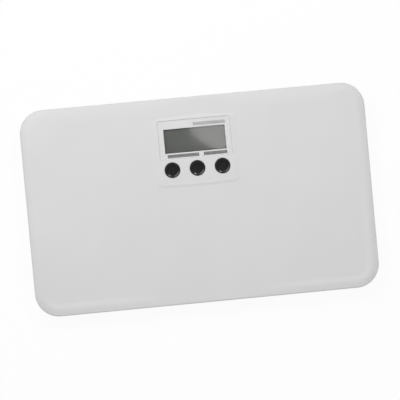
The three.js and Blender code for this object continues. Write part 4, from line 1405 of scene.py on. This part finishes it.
@dataclass
class BaseCover:
    """The base: a shallow curved pan with a lip, four seats, the battery bay and the screws' recesses."""

    platform: Platform
    bottom: float = 8.0
    wall: float = 2.4
    flare_depth: float = 15.0
    flare_start: float = 0.3
    lip_outside: float = 2.9
    lip_wall: float = 1.6
    lip_foot: float = 18.6
    lip_top: float = 27.4
    lip_chamfer: float = 0.4
    seat_radius: float = 27.07
    seat_top: float = 16.4
    seat_bore: float = 21.5
    seat_ledge: float = 13.3
    pocket_size: float = 34.6
    hole_radius: float = 19.8
    notch: float = 4.0
    boss_radius: float = 6.4
    boss_top: float = 17.4
    recess_radius: float = 4.2
    recess_top: float = 15.0
    shank_radius: float = 1.9
    flare: float = 0.3
    overrun: float = 2.0
    embed: float = 0.6
    curve_rings: int = 14
    sides: int = 96
    small_sides: int = 40

    def pan(self, wall: float, floor: float, top: float) -> Draft:
        """Returns a body with the pan's rounded underside.

        Args:
            wall: how far the body is drawn in from the platform's edge.
            floor: the height of its underside.
            top: the height of its upper end.
        """
        form = self.platform
        rings = []
        for cosine, sine in quarter_turn(self.curve_rings):
            depth = wall + mix(self.flare_start, self.flare_depth, 1 - cosine)
            rings.append(form.ring(depth, mix(top, floor, sine)))
        return Draft().loft(rings)

    def shell(self) -> bpy.types.Object:
        """Makes the pan with its lip."""
        form = self.platform
        top = form.parting - form.parting_gap
        inner = self.bottom + self.wall
        base = self.pan(0, self.bottom, top).build("base_pan", [SHELL.material()])
        Shaping.carve(base, Carve.CUT, self.pan(self.wall, inner, top + self.overrun))
        outside = self.lip_outside
        inside = outside + self.lip_wall
        lip = (
            (outside, self.lip_foot), (outside, self.lip_top - self.lip_chamfer),
            (outside + self.lip_chamfer, self.lip_top), (inside, self.lip_top), (inside, self.lip_foot),
        )
        rings = [form.ring(depth, z) for depth, z in lip]
        Shaping.carve(base, Carve.JOIN, Draft().loft(rings, looped=True))
        return base

    def add_seats(self, base: bpy.types.Object) -> None:
        """Adds the load cells' seats and the holes that the feet come through."""
        inner = self.bottom + self.wall
        spots = [(box.middle.x, box.middle.y) for box in Feet.boxes("foot_cup")]
        rings, bores, pockets, holes, notches = (Draft() for _ in range(5))
        for x, y in spots:
            rings.disc(x, y, self.seat_radius, inner - self.embed, self.seat_top, self.sides)
            bores.disc(x, y, self.seat_bore, inner, self.seat_ledge + self.embed / 2, self.sides)
            pockets.block_at(
                x, y, self.pocket_size, self.pocket_size, self.seat_ledge, self.seat_top + self.overrun,
            )
            holes.bore(
                x, y, self.hole_radius, self.bottom - self.overrun, inner + self.embed, self.bottom,
                self.flare, self.sides,
            )
            reach = self.seat_radius + self.overrun
            notches.block_at(
                x - math.copysign(reach / 2, x), y, reach, self.notch, self.seat_ledge,
                self.seat_top + self.overrun,
            )
        Shaping.carve(base, Carve.JOIN, rings)
        for tool in (bores, pockets, holes, notches):
            Shaping.carve(base, Carve.CUT, tool)

    def add_screw_bosses(self, base: bpy.types.Object) -> None:
        """Adds the bosses and recesses of the case screws."""
        inner = self.bottom + self.wall
        bosses, recesses, shanks = (Draft() for _ in range(3))
        for box in Fasteners.boxes("case_screw"):
            x, y = box.middle.x, box.middle.y
            bosses.disc(x, y, self.boss_radius, inner - self.embed, self.boss_top, self.small_sides)
            recesses.bore(
                x, y, self.recess_radius, self.bottom - self.overrun, self.recess_top, self.bottom,
                self.flare, self.small_sides,
            )
            shanks.disc(
                x, y, self.shank_radius, self.recess_top - self.embed, self.boss_top + self.overrun,
                self.small_sides,
            )
        Shaping.carve(base, Carve.JOIN, bosses)
        Shaping.carve(base, Carve.CUT, recesses)
        Shaping.carve(base, Carve.CUT, shanks)

    def build(self) -> list[bpy.types.Object]:
        """Makes the base, which stands for the CAD base cover."""
        base = self.shell()
        self.add_seats(base)
        self.add_screw_bosses(base)
        BatteryBay(self).add(base)
        return [place(base, "root", SHELL, "base_cover")]


@dataclass
class BatteryBay:
    """The battery bay in the base: a box for the cells, pockets for the door's hooks and a finger scoop."""

    base: BaseCover
    middle_y: float = -40.0
    width: float = 60.0
    length: float = 58.8
    top: float = 25.4
    wall: float = 2.0
    opening_width: float = 66.0
    opening_length: float = 76.8
    opening_corner: float = 2.5
    ledge: float = 10.3
    pocket_top: float = 14.8
    hook_room: float = 11.0
    hook_x: float = 20.0
    hook_reach: float = 4.7
    latch_room: float = 15.0
    scoop_width: float = 22.0
    scoop_length: float = 9.0
    scoop_depth: float = 3.2
    scoop_wall: float = 1.6
    scoop_rings: int = 8
    tail_width: float = 3.8
    tail_height: float = 1.3

    def add(self, base: bpy.types.Object) -> None:
        """Adds the bay's walls to the base, and cuts its rooms out."""
        cover = self.base
        inner = cover.bottom + cover.wall
        root = inner - cover.embed
        outer_x = self.width / 2 + self.wall
        outer_y = self.length / 2 + self.wall
        open_x = self.opening_width / 2
        open_y = self.opening_length / 2
        hook_back = self.middle_y - open_y - self.hook_reach
        latch_back = self.middle_y + open_y
        scoop_back = latch_back + self.scoop_length
        scoop_top = cover.bottom + self.scoop_depth
        below = cover.bottom - cover.overrun

        def join(x0: float, x1: float, y0: float, y1: float, z1: float) -> None:
            """Adds one block that stands in the base's floor."""
            Shaping.carve(base, Carve.JOIN, Draft().block(x0, x1, y0, y1, root, z1))

        def cut(x0: float, x1: float, y0: float, y1: float, z0: float, z1: float) -> None:
            """Cuts one block out."""
            Shaping.carve(base, Carve.CUT, Draft().block(x0, x1, y0, y1, z0, z1))

        reach_x = open_x + self.wall
        reach_y = open_y + self.wall
        join(-reach_x, reach_x, self.middle_y - reach_y, self.middle_y + reach_y, inner + self.wall)
        join(-outer_x, outer_x, self.middle_y - outer_y, self.middle_y + outer_y, self.top + self.wall)
        latch = self.latch_room / 2
        join(
            -latch - self.wall, latch + self.wall, self.middle_y + outer_y - cover.embed,
            latch_back + self.wall, self.pocket_top + self.wall,
        )
        scoop = self.scoop_width / 2
        join(
            -scoop - self.scoop_wall, scoop + self.scoop_wall, latch_back, scoop_back + self.scoop_wall,
            scoop_top + self.scoop_wall,
        )
        hook = self.hook_room / 2
        for x in (-self.hook_x, self.hook_x):
            join(
                x - hook - self.wall, x + hook + self.wall, hook_back - self.wall,
                self.middle_y - outer_y + cover.embed, self.pocket_top + self.wall,
            )
        Shaping.carve(base, Carve.CUT, Draft().loft(flared(
            lambda growth: rounded_rectangle(
                0, self.middle_y, self.opening_width + 2 * growth, self.opening_length + 2 * growth,
                self.opening_corner + growth,
            ),
            below, self.ledge, cover.bottom, cover.flare,
        )))
        half = self.length / 2
        cut(-self.width / 2, self.width / 2, self.middle_y - half, self.middle_y + half, below, self.top)
        cut(-latch, latch, self.middle_y + outer_y, latch_back, self.ledge - cover.embed, self.pocket_top)
        self.cut_scoop(base, latch_back - cover.embed, scoop_back, scoop_top)
        for x in (-self.hook_x, self.hook_x):
            front = self.middle_y - open_y
            cut(
                x - hook, x + hook, front - cover.embed, self.middle_y - outer_y, self.ledge - cover.embed,
                self.pocket_top,
            )
            cut(x - hook, x + hook, hook_back, front + cover.embed, inner, self.pocket_top)
        cell = NodeBox.of("battery_cell_1").middle
        for x in (cell.x, -cell.x):
            cut(
                x - self.tail_width / 2, x + self.tail_width / 2, self.middle_y + half - cover.embed,
                self.middle_y + outer_y + cover.overrun, cell.z - self.tail_height / 2,
                cell.z + self.tail_height / 2,
            )

    def cut_scoop(self, base: bpy.types.Object, front: float, back: float, top: float) -> None:
        """Cuts the finger scoop, which curves up towards the door's edge.

        Args:
            base: the base.
            front: the scoop's end at the door.
            back: its far end.
            top: the height of its ceiling.
        """
        bottom = self.base.bottom
        below = bottom - self.base.overrun
        half = self.scoop_width / 2
        rings = []
        for step, (cosine, _) in enumerate(quarter_turn(self.scoop_rings)):
            y = mix(front, back, step / self.scoop_rings)
            z = mix(bottom, top, math.sqrt(cosine)) if step < self.scoop_rings else bottom
            rings.append([(-half, y, below), (half, y, below), (half, y, z), (-half, y, z)])
        Shaping.carve(base, Carve.CUT, Draft().loft(rings))


@dataclass
class BatteryDoor:
    """The door of the battery bay, with its hooks, its latch and a ribbed grip."""

    corner: float = 2.0
    thickness: float = 2.0
    edge_radius: float = 0.5
    front: float = -77.9
    hook_width: float = 10.0
    hook_x: float = 20.0
    hook_low: float = 10.7
    hook_high: float = 12.3
    hook_riser: float = 2.4
    latch_width: float = 14.0
    latch_thickness: float = 1.4
    latch_setback: float = 1.2
    latch_nib: float = 1.2
    groove_count: int = 5
    groove_pitch: float = 3.0
    groove_length: float = 26.0
    groove_width: float = 1.2
    groove_corner: float = 0.585
    groove_depth: float = 0.3
    embed: float = 0.6
    overrun: float = 2.0
    round_steps: int = 5
    edge: float = 0.15

    def build(self) -> list[bpy.types.Object]:
        """Makes the door, which stands for the CAD door."""
        box = NodeBox.of("battery_door")
        bottom = box.low.z
        inner = bottom + self.thickness
        middle = (self.front + box.high.y) / 2
        length = box.high.y - self.front
        rings = []
        for cosine, sine in quarter_turn(self.round_steps):
            inset = self.edge_radius * (1 - sine)
            shape = rounded_rectangle(
                0, middle, box.size.x - 2 * inset, length - 2 * inset, self.corner - inset,
            )
            rings.append(at_height(shape, bottom + self.edge_radius * (1 - cosine)))
        rings.append(at_height(shape, inner))
        door = Draft().loft(rings).build("battery_door_plate", [SHELL.material()])
        half = self.hook_width / 2
        back = self.front + self.hook_riser
        for x in (-self.hook_x, self.hook_x):
            for y0, z0 in ((self.front, inner - self.embed), (box.low.y, self.hook_low)):
                hook = Draft().block(x - half, x + half, y0, back, z0, self.hook_high)
                Shaping.carve(door, Carve.JOIN, hook)
        face = box.high.y - self.latch_setback
        half = self.latch_width / 2
        for y1, z0 in ((face, inner - self.embed), (box.high.y, box.high.z - self.latch_nib)):
            latch = Draft().block(-half, half, face - self.latch_thickness, y1, z0, box.high.z)
            Shaping.carve(door, Carve.JOIN, latch)
        grooves = Draft()
        for groove in range(self.groove_count):
            shape = rounded_rectangle(
                0, face - (groove + 1) * self.groove_pitch, self.groove_length, self.groove_width,
                self.groove_corner,
            )
            grooves.prism(shape, bottom - self.overrun, bottom + self.groove_depth)
        Shaping.carve(door, Carve.CUT, grooves)
        Shaping.soften(door, self.edge)
        return [place(door, "door", SHELL, "battery_door")]


@dataclass
class Feet:
    """The four feet: a rubber pad in a plastic cup, under a load cell with its cap."""

    corners = ("front_left", "front_right", "back_left", "back_right")

    pad_round: float = 0.6
    groove_radii: tuple[float, float, float] = (10.0, 12.0, 14.0)
    groove_width: float = 0.5
    groove_depth: float = 0.35
    hollow_radius: float = 8.0
    hollow_depth: float = 0.5
    cup_wall: float = 2.0
    cup_round: float = 1.2
    cup_radius: float = 19.0
    flange_thickness: float = 1.6
    pad_gap: float = 0.3
    floor_thickness: float = 1.8
    stud_radius: float = 4.0
    stud_proud: float = 0.4
    corner_round: float = 0.3
    round_steps: int = 6
    sides: int = 96
    cap_bottom: float = 16.7
    cap_wall: float = 1.4
    cap_hole: float = 8.0
    cap_pad_size: float = 6.0
    cap_pad_place: float = 14.0
    cap_pad_foot: float = 15.9
    cap_notch: float = 4.0
    cap_round: float = 0.3
    cell_edge: float = 0.15

    @classmethod
    def boxes(cls, kind: str) -> list[NodeBox]:
        """Returns the boxes of one kind of node at each corner."""
        return [NodeBox.of(f"{kind}_{corner}") for corner in cls.corners]

    def pad(self, corner: str) -> bpy.types.Object:
        """Makes a rubber pad with rings in its sole."""
        box = NodeBox.of(f"foot_pad_{corner}")
        radius = box.size.x / 2
        hollow = self.hollow_radius - self.hollow_depth
        profile = [(0, self.hollow_depth), (hollow, self.hollow_depth), (self.hollow_radius, 0)]
        for middle in self.groove_radii:
            low = middle - self.groove_width / 2
            high = middle + self.groove_width / 2
            profile += [(low, 0), (low, self.groove_depth), (high, self.groove_depth), (high, 0)]
        profile += low_round(radius, 0, self.pad_round, self.round_steps)
        profile += [(radius, box.high.z), (0, box.high.z)]
        pad = Draft().lathe(box.middle.x, box.middle.y, profile, self.sides)
        return make(pad, f"foot_pad_{corner}_ringed", f"foot_{corner}", RUBBER, f"foot_pad_{corner}")

    def cup(self, corner: str) -> bpy.types.Object:
        """Makes a cup, with its flange above and its mouth around the pad."""
        box = NodeBox.of(f"foot_cup_{corner}")
        pad = NodeBox.of(f"foot_pad_{corner}")
        bottom, top = box.low.z, box.high.z
        flange = box.size.x / 2
        seat = pad.high.z + self.pad_gap
        mouth = pad.size.x / 2 + self.pad_gap
        high = top - self.stud_proud
        low = high - self.flange_thickness
        inside = self.cup_radius - self.cup_wall
        floor = seat + self.floor_thickness
        stud = self.stud_radius
        bend = self.corner_round
        profile = [(0, seat), (mouth, seat), (mouth, bottom + bend), (mouth + bend, bottom)]
        profile += low_round(self.cup_radius, bottom, self.cup_round, self.round_steps)
        profile += [
            (self.cup_radius, low), (flange - bend, low), (flange, low + bend), (flange, high - bend),
            (flange - bend, high), (inside + bend, high), (inside, high - bend), (inside, floor),
            (stud, floor), (stud, top - bend), (stud - bend, top), (0, top),
        ]
        cup = Draft().lathe(box.middle.x, box.middle.y, profile, self.sides)
        return make(cup, f"foot_cup_{corner}_turned", f"foot_{corner}", FOOT, f"foot_cup_{corner}")

    def cap(self, corner: str) -> bpy.types.Object:
        """Makes the cap that holds a load cell down, with its four pads and the lead's notch."""
        box = NodeBox.of(f"cell_cap_{corner}")
        x, y = box.middle.x, box.middle.y
        bottom, top = box.low.z, box.high.z
        outside = box.size.x / 2
        inside = outside - self.cap_wall
        hole = self.cap_hole
        bend = self.cap_round
        profile = [
            (hole, self.cap_bottom), (inside, self.cap_bottom), (inside, bottom), (outside, bottom),
            (outside, top - bend), (outside - bend, top), (hole + bend, top), (hole, top - bend),
        ]
        ring = Draft().lathe(x, y, profile, self.sides, looped=True)
        cap = ring.build(f"cell_cap_{corner}_turned", [HOLDER.material()])
        pads = Draft()
        for side_x in (-1, 1):
            for side_y in (-1, 1):
                pads.block_at(
                    x + side_x * self.cap_pad_place, y + side_y * self.cap_pad_place, self.cap_pad_size,
                    self.cap_pad_size, self.cap_pad_foot, self.cap_bottom + self.pad_gap,
                )
        Shaping.carve(cap, Carve.JOIN, pads)
        reach = outside + self.cap_pad_size
        notch = Draft().block_at(
            x - math.copysign((reach + hole) / 2, x), y, reach - hole, self.cap_notch,
            bottom - self.cap_wall, self.cap_bottom,
        )
        Shaping.carve(cap, Carve.CUT, notch)
        return place(cap, "root", HOLDER, f"cell_cap_{corner}")

    def build(self) -> list[bpy.types.Object]:
        """Makes all four feet and dresses their load cells."""
        made = []
        for corner in self.corners:
            made += [self.pad(corner), self.cup(corner), self.cap(corner)]
            dress(f"load_cell_{corner}", STEEL, self.cell_edge)
        return made


@dataclass
class Fasteners:
    """The case screws and the board screws: pan heads with a cross drive and a ringed thread."""

    counts = {"case_screw": 6, "board_screw": 4}

    head_heights: tuple[float, float] = (2.2, 1.5)
    shank_radii: tuple[float, float] = (1.6, 1.1)
    round_share: float = 0.45
    drive_arm: float = 0.7
    drive_depth: float = 0.9
    drive_share: float = 0.67
    thread_pitch: float = 0.9
    crest_share: float = 0.9
    thread_depth: float = 0.28
    overrun: float = 2.0
    round_steps: int = 6
    sides: int = 48

    @classmethod
    def boxes(cls, kind: str) -> list[NodeBox]:
        """Returns the boxes of all screws of one kind."""
        return [NodeBox.of(f"{kind}_{number}") for number in range(1, cls.counts[kind] + 1)]

    def screw(self, name: str, head_height: float, radius: float) -> bpy.types.Object:
        """Makes one screw.

        Args:
            name: its CAD node.
            head_height: the height of its head.
            radius: the radius over its thread.
        """
        box = NodeBox.of(name)
        x, y = box.middle.x, box.middle.y
        head = box.size.x / 2
        low = box.low.z
        seat = low + head_height
        bend = head_height * self.round_share
        root = radius - self.thread_depth
        pitch = self.thread_pitch
        profile = [(0, low), *low_round(head, low, bend, self.round_steps), (head, seat), (radius, seat)]
        end = box.high.z - radius
        for turn in range(int((end - seat) / pitch)):
            start = seat + turn * pitch
            profile += [(root, start + pitch / 4), (root, start + pitch / 2)]
            profile.append((radius, start + pitch * self.crest_share))
        profile += [(root, end), (0, box.high.z)]
        screw = Draft().lathe(x, y, profile, self.sides).build(f"{name}_threaded", [STEEL.material()])
        arm = head * self.drive_share
        for size_x, size_y in ((2 * arm, self.drive_arm), (self.drive_arm, 2 * arm)):
            slot = Draft().block_at(x, y, size_x, size_y, low - self.overrun, low + self.drive_depth)
            Shaping.carve(screw, Carve.CUT, slot)
        return place(screw, "root", STEEL, name)

    def build(self) -> list[bpy.types.Object]:
        """Makes all the screws."""
        made = []
        for kind, height, radius in zip(self.counts, self.head_heights, self.shank_radii):
            for number in range(1, self.counts[kind] + 1):
                made.append(self.screw(f"{kind}_{number}", height, radius))
        return made


@dataclass
class Batteries:
    """The four cells, each a steel can in a printed jacket, with every second one turned round."""

    count: int = 4
    nub_radius: float = 2.75
    nub_height: float = 1.0
    can_round: float = 0.7
    jacket_wall: float = 0.15
    jacket_fold: float = 0.9
    round_steps: int = 5
    sides: int = 72

    def can_profile(self, radius: float, length: float) -> list[Spot]:
        """Returns the can's profile, from its minus end to the top of its nub."""
        can = length - self.nub_height
        low = low_round(radius, 0, self.can_round, self.round_steps)
        high = [(r, can - z) for r, z in reversed(low)]
        tip = self.nub_height / 4
        nub = [
            (self.nub_radius + tip, can), (self.nub_radius, can + tip), (self.nub_radius, length - tip),
            (self.nub_radius - tip, length), (0, length),
        ]
        return [(0, 0), *low, *high, *nub]

    def jacket_profile(self, radius: float, length: float) -> list[Spot]:
        """Returns the jacket's profile, a thin sleeve folded in over both shoulders of the can."""
        can = length - self.nub_height
        fold = radius - self.can_round - self.jacket_fold
        shut = [(fold, 0), *low_round(radius, 0, self.can_round, self.round_steps)]
        shut += [(r, can - z) for r, z in reversed(shut)]
        inner = [(r - self.jacket_wall, z) for r, z in reversed(shut)]
        inner = [(r, clamp(z, self.jacket_wall, can - self.jacket_wall)) for r, z in inner]
        return shut + inner

    def build(self) -> list[bpy.types.Object]:
        """Makes the cells' cans and jackets."""
        made = []
        for number in range(1, self.count + 1):
            node = f"battery_cell_{number}"
            box = NodeBox.of(node)
            radius = box.size.x / 2
            plus_back = number % 2 == 1
            start = box.low.y if plus_back else box.high.y
            turn = Matrix.Rotation(-TURN / 4 if plus_back else TURN / 4, 4, "X")
            spot = Matrix.Translation(Vector((box.middle.x, start, box.middle.z)) * MM) @ turn
            profile = self.can_profile(radius - 2 * self.jacket_wall, box.size.y)
            can = Draft().lathe(0, 0, profile, self.sides)
            profile = self.jacket_profile(radius, box.size.y)
            jacket = Draft().lathe(0, 0, profile, self.sides, looped=True)
            core = can.build(f"battery_{number}_can", [STEEL.material()])
            sleeve = jacket.build(f"battery_{number}_jacket", [JACKET.material()])
            for piece in (core, sleeve):
                piece.matrix_world = spot
            made += [place(core, "root", STEEL, node), place(sleeve, "root", JACKET)]
        return made


@dataclass
class Contacts:
    """The battery contacts: plates with springs for the minus ends and dimples for the plus ends."""

    bay: BatteryBay
    gap: float = 0.4
    thickness: float = 0.5
    size: float = 12.0
    dimple_radius: float = 3.0
    dimple_proud: float = 0.5
    wire: float = 0.35
    base_radius: float = 4.6
    tip_radius: float = 3.0
    length: float = 5.4
    curls: int = 3
    end_run: float = 0.7
    tail_width: float = 3.0
    tail_reach: float = 2.0
    plate_corner: float = 1.0
    steps_per_curl: int = 28
    wire_sides: int = 10
    dimple_rings: int = 5
    dimple_sides: int = 32

    @property
    def z(self) -> float:
        """The height of the cells' middle."""
        return NodeBox.of("battery_cell_1").middle.z

    def plate(self, x: float, width: float, wall: float, inward: int) -> Draft:
        """Returns an upright plate with round corners, beside a wall of the bay."""
        near = wall + inward * self.gap
        shape = rounded_rectangle(x, self.z, width, self.size, self.plate_corner)
        faces = (near, near + inward * self.thickness)
        return Draft().loft([[(across, y, up) for across, up in shape] for y in faces])

    def spring(self, x: float, wall: float, inward: int) -> Draft:
        """Returns the tapered coil from a plate towards a cell's minus end."""
        z = self.z
        start = wall + inward * (self.gap + self.thickness - self.wire)
        climb = self.length - 2 * self.end_run + self.wire
        steps = self.curls * self.steps_per_curl
        path = []
        for step in range(steps + 1):
            share = step / steps
            angle = TURN * self.curls * share
            radius = mix(self.base_radius, self.tip_radius, share)
            path.append(Vector((
                x + radius * math.cos(angle), start + inward * (self.end_run + climb * share),
                z + radius * math.sin(angle),
            )))
        root = Vector((path[0].x, start, path[0].z))
        return Draft().tube([root, *path], self.wire, self.wire_sides)

    def dimple(self, x: float, wall: float, inward: int) -> Draft:
        """Returns the domed dimple that meets a cell's plus end."""
        z = self.z
        face = wall + inward * (self.gap + self.thickness / 2)
        angles = [TURN * side / self.dimple_sides for side in range(self.dimple_sides)]
        rings = []
        for cosine, sine in quarter_turn(self.dimple_rings):
            radius = max(self.dimple_radius * cosine, self.wire)
            y = face + inward * (self.thickness / 2 + self.dimple_proud) * sine
            rings.append([
                (x + radius * math.cos(angle), y, z + radius * math.sin(angle)) for angle in angles
            ])
        return Draft().loft(rings)

    def tail(self, x: float, wall: float, inward: int) -> Draft:
        """Returns the tail that carries a lead through the bay's wall."""
        z = self.z
        near = wall + inward * (self.gap + self.thickness / 2)
        far = wall - inward * (self.bay.wall + self.tail_reach)
        return Draft().block(
            x - self.tail_width / 2, x + self.tail_width / 2, min(near, far), max(near, far),
            z - self.thickness / 2, z + self.thickness / 2,
        )

    def piece(self, node: str, plate: Draft, *parts: Draft) -> bpy.types.Object:
        """Makes one contact from its plate and what is joined to it."""
        made = plate.build(f"{node}_pressed", [STEEL.material()])
        for part in parts:
            Shaping.carve(made, Carve.JOIN, part)
        return place(made, "root", STEEL, node)

    def build(self) -> list[bpy.types.Object]:
        """Makes the two terminals and the three bridges."""
        back = self.bay.middle_y + self.bay.length / 2
        front = self.bay.middle_y - self.bay.length / 2
        xs = [NodeBox.of(f"battery_cell_{number}").middle.x for number in range(1, 5)]
        made = []
        for sign, x, tip in (("plus", xs[0], self.dimple), ("minus", xs[-1], self.spring)):
            plate = self.plate(x, self.size, back, -1)
            made.append(self.piece(f"terminal_{sign}", plate, tip(x, back, -1), self.tail(x, back, -1)))
        for number, (first, second) in enumerate(zip(xs, xs[1:])):
            wall, inward = (front, 1) if number % 2 == 0 else (back, -1)
            width = self.size + second - first
            made.append(self.piece(
                f"bridge_{number + 1}", self.plate((first + second) / 2, width, wall, inward),
                self.spring(first, wall, inward), self.dimple(second, wall, inward),
            ))
        return made


@dataclass
class Leads:
    """The thin insulated leads inside the case."""

    finishes = {"power_lead_plus": RED_LEAD, "power_lead_minus": BLACK_LEAD}

    levels: int = 2

    def build(self) -> list[bpy.types.Object]:
        """Dresses the leads, rounded by subdivision."""
        finishes = dict(self.finishes)
        for corner in Feet.corners:
            finishes[f"cell_lead_{corner}"] = BLACK_LEAD
        for node, finish in finishes.items():
            dress(node, finish, 0)
            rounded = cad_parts[node].modifiers.new("round", "SUBSURF")
            rounded.levels = self.levels
            rounded.render_levels = self.levels
        return []


@dataclass(frozen=True)
class Lamp:
    """A soft lamp.

    Attributes:
        name: what it is called.
        at: where it stands.
        size: how wide it is.
        power: its power in watts.
        round: whether it is a disc and not a square.
    """

    name: str
    at: Point
    size: float
    power: float
    round: bool = False

    def build(self, aim: Point) -> None:
        """Adds the lamp, facing a point, hidden from the camera."""
        data = bpy.data.lights.new(self.name, "AREA")
        data.shape = "DISK" if self.round else "SQUARE"
        data.size = self.size * MM
        data.energy = self.power
        lamp = bpy.data.objects.new(self.name, data)
        lamp.location = Vector(self.at) * MM
        lamp.rotation_euler = (Vector(aim) - Vector(self.at)).to_track_quat("-Z", "Y").to_euler()
        lamp.visible_camera = False
        bpy.context.scene.collection.objects.link(lamp)


@dataclass
class Studio:
    """The pale floor, the soft lamps and the camera."""

    floor_size: float = 9000.0
    floor_colour: float = 0.9
    floor_seen: float = 0.92
    floor_glow: float = 0.4
    lens: float = 224.95
    sensor: float = 36.0
    camera_reach: float = 100000.0
    camera_place: Point = (-218.3, 101.3, 4000.0)
    camera_aim: Point = (-0.81, -0.92, 44.0)
    camera_roll: float = math.radians(5.313)
    world_light: float = 0.58
    ceiling: float = 0.24
    ceiling_from: float = 0.5
    lamps: tuple[Lamp, ...] = (
        Lamp("lamp_back_left", (-560, 760, 1500), 880, 10.6),
        Lamp("lamp_back_right", (430, 650, 1500), 220, 4.3),
        Lamp("lamp_overhead", (330, 181, 3990), 274, 0.27, round=True),
    )

    def camera(self) -> None:
        """Adds the camera, almost straight overhead, rolled a little against the platform."""
        data = bpy.data.cameras.new("camera")
        data.lens = self.lens
        data.sensor_width = self.sensor
        data.clip_end = self.camera_reach * MM
        forward = (Vector(self.camera_aim) - Vector(self.camera_place)).normalized()
        upward = Vector((math.sin(self.camera_roll), math.cos(self.camera_roll), 0))
        right = forward.cross(upward).normalized()
        axes = Matrix((right, right.cross(forward), -forward)).transposed()
        eye = bpy.data.objects.new("camera", data)
        eye.matrix_world = Matrix.Translation(Vector(self.camera_place) * MM) @ axes.to_4x4()
        bpy.context.scene.collection.objects.link(eye)
        bpy.context.scene.camera = eye

    def floor(self) -> None:
        """Adds the white floor. It keeps the object's shadow, glows softly and is open from below."""
        draft = Draft()
        half = self.floor_size / 2
        draft.points = [(-half, -half, 0), (half, -half, 0), (half, half, 0), (-half, half, 0)]
        draft.face((0, 1, 2, 3))
        nodes = Nodes("floor_white")
        nodes.tree.nodes.remove(nodes.shader)
        matt = nodes.add("ShaderNodeBsdfDiffuse", {"Color": (self.floor_colour,) * 3 + (1,)})
        glow = nodes.add("ShaderNodeEmission")
        share = nodes.ranged(nodes.seen(), self.floor_glow, self.floor_seen)
        lit = nodes.layer(share, matt.outputs["BSDF"], glow.outputs["Emission"])
        under = nodes.add("ShaderNodeNewGeometry").outputs["Backfacing"]
        through = nodes.add("ShaderNodeBsdfTransparent").outputs["BSDF"]
        nodes.feed(nodes.output, {"Surface": nodes.layer(under, lit, through)})
        draft.build("floor", [nodes.material])

    def world(self) -> None:
        """Sets the world: even as light, white where it is seen, and a dimmer ceiling in reflections."""
        world = bpy.data.worlds.new("studio")
        world.use_nodes = True
        wiring = Wiring(world.node_tree)
        direction = wiring.add("ShaderNodeTexCoord").outputs["Generated"]
        upward = wiring.add("ShaderNodeSeparateXYZ", {"Vector": direction}).outputs["Z"]
        camera_ray = wiring.add("ShaderNodeLightPath").outputs["Is Camera Ray"]
        ceiling = wiring.ranged(camera_ray, self.ceiling, 1)
        shown = wiring.ranged(upward, 1, ceiling, self.ceiling_from)
        strength = wiring.ranged(wiring.seen(), self.world_light, shown)
        light = wiring.add("ShaderNodeBackground", {"Color": (1, 1, 1, 1), "Strength": strength})
        wiring.add("ShaderNodeOutputWorld", {"Surface": light.outputs["Background"]})
        bpy.context.scene.world = world

    def build(self) -> None:
        """Sets up the whole studio."""
        bpy.context.scene.view_settings.view_transform = "Standard"
        self.camera()
        self.floor()
        self.world()
        for lamp in self.lamps:
            lamp.build((0, 0, 0))


def main() -> None:
    """Builds the studio and every sub-assembly in order, and reports each piece."""
    Studio().build()
    platform = Platform()
    window = Window()
    base = BaseCover(platform)
    parts = {
        "top cover": TopCover(platform, Island(platform), window),
        "cover panel": CoverPanel(window),
        "display": Display(),
        "keypad": Keypad(),
        "circuit": Circuit(),
        "base cover": base,
        "battery door": BatteryDoor(),
        "feet": Feet(),
        "screws": Fasteners(),
        "batteries": Batteries(),
        "contacts": Contacts(BatteryBay(base)),
        "leads": Leads(),
    }
    for name, part in parts.items():
        for piece in part.build():
            log.info("%s: %s, %d faces", name, piece.name, len(piece.data.polygons))


if __name__ == "__main__":
    main()
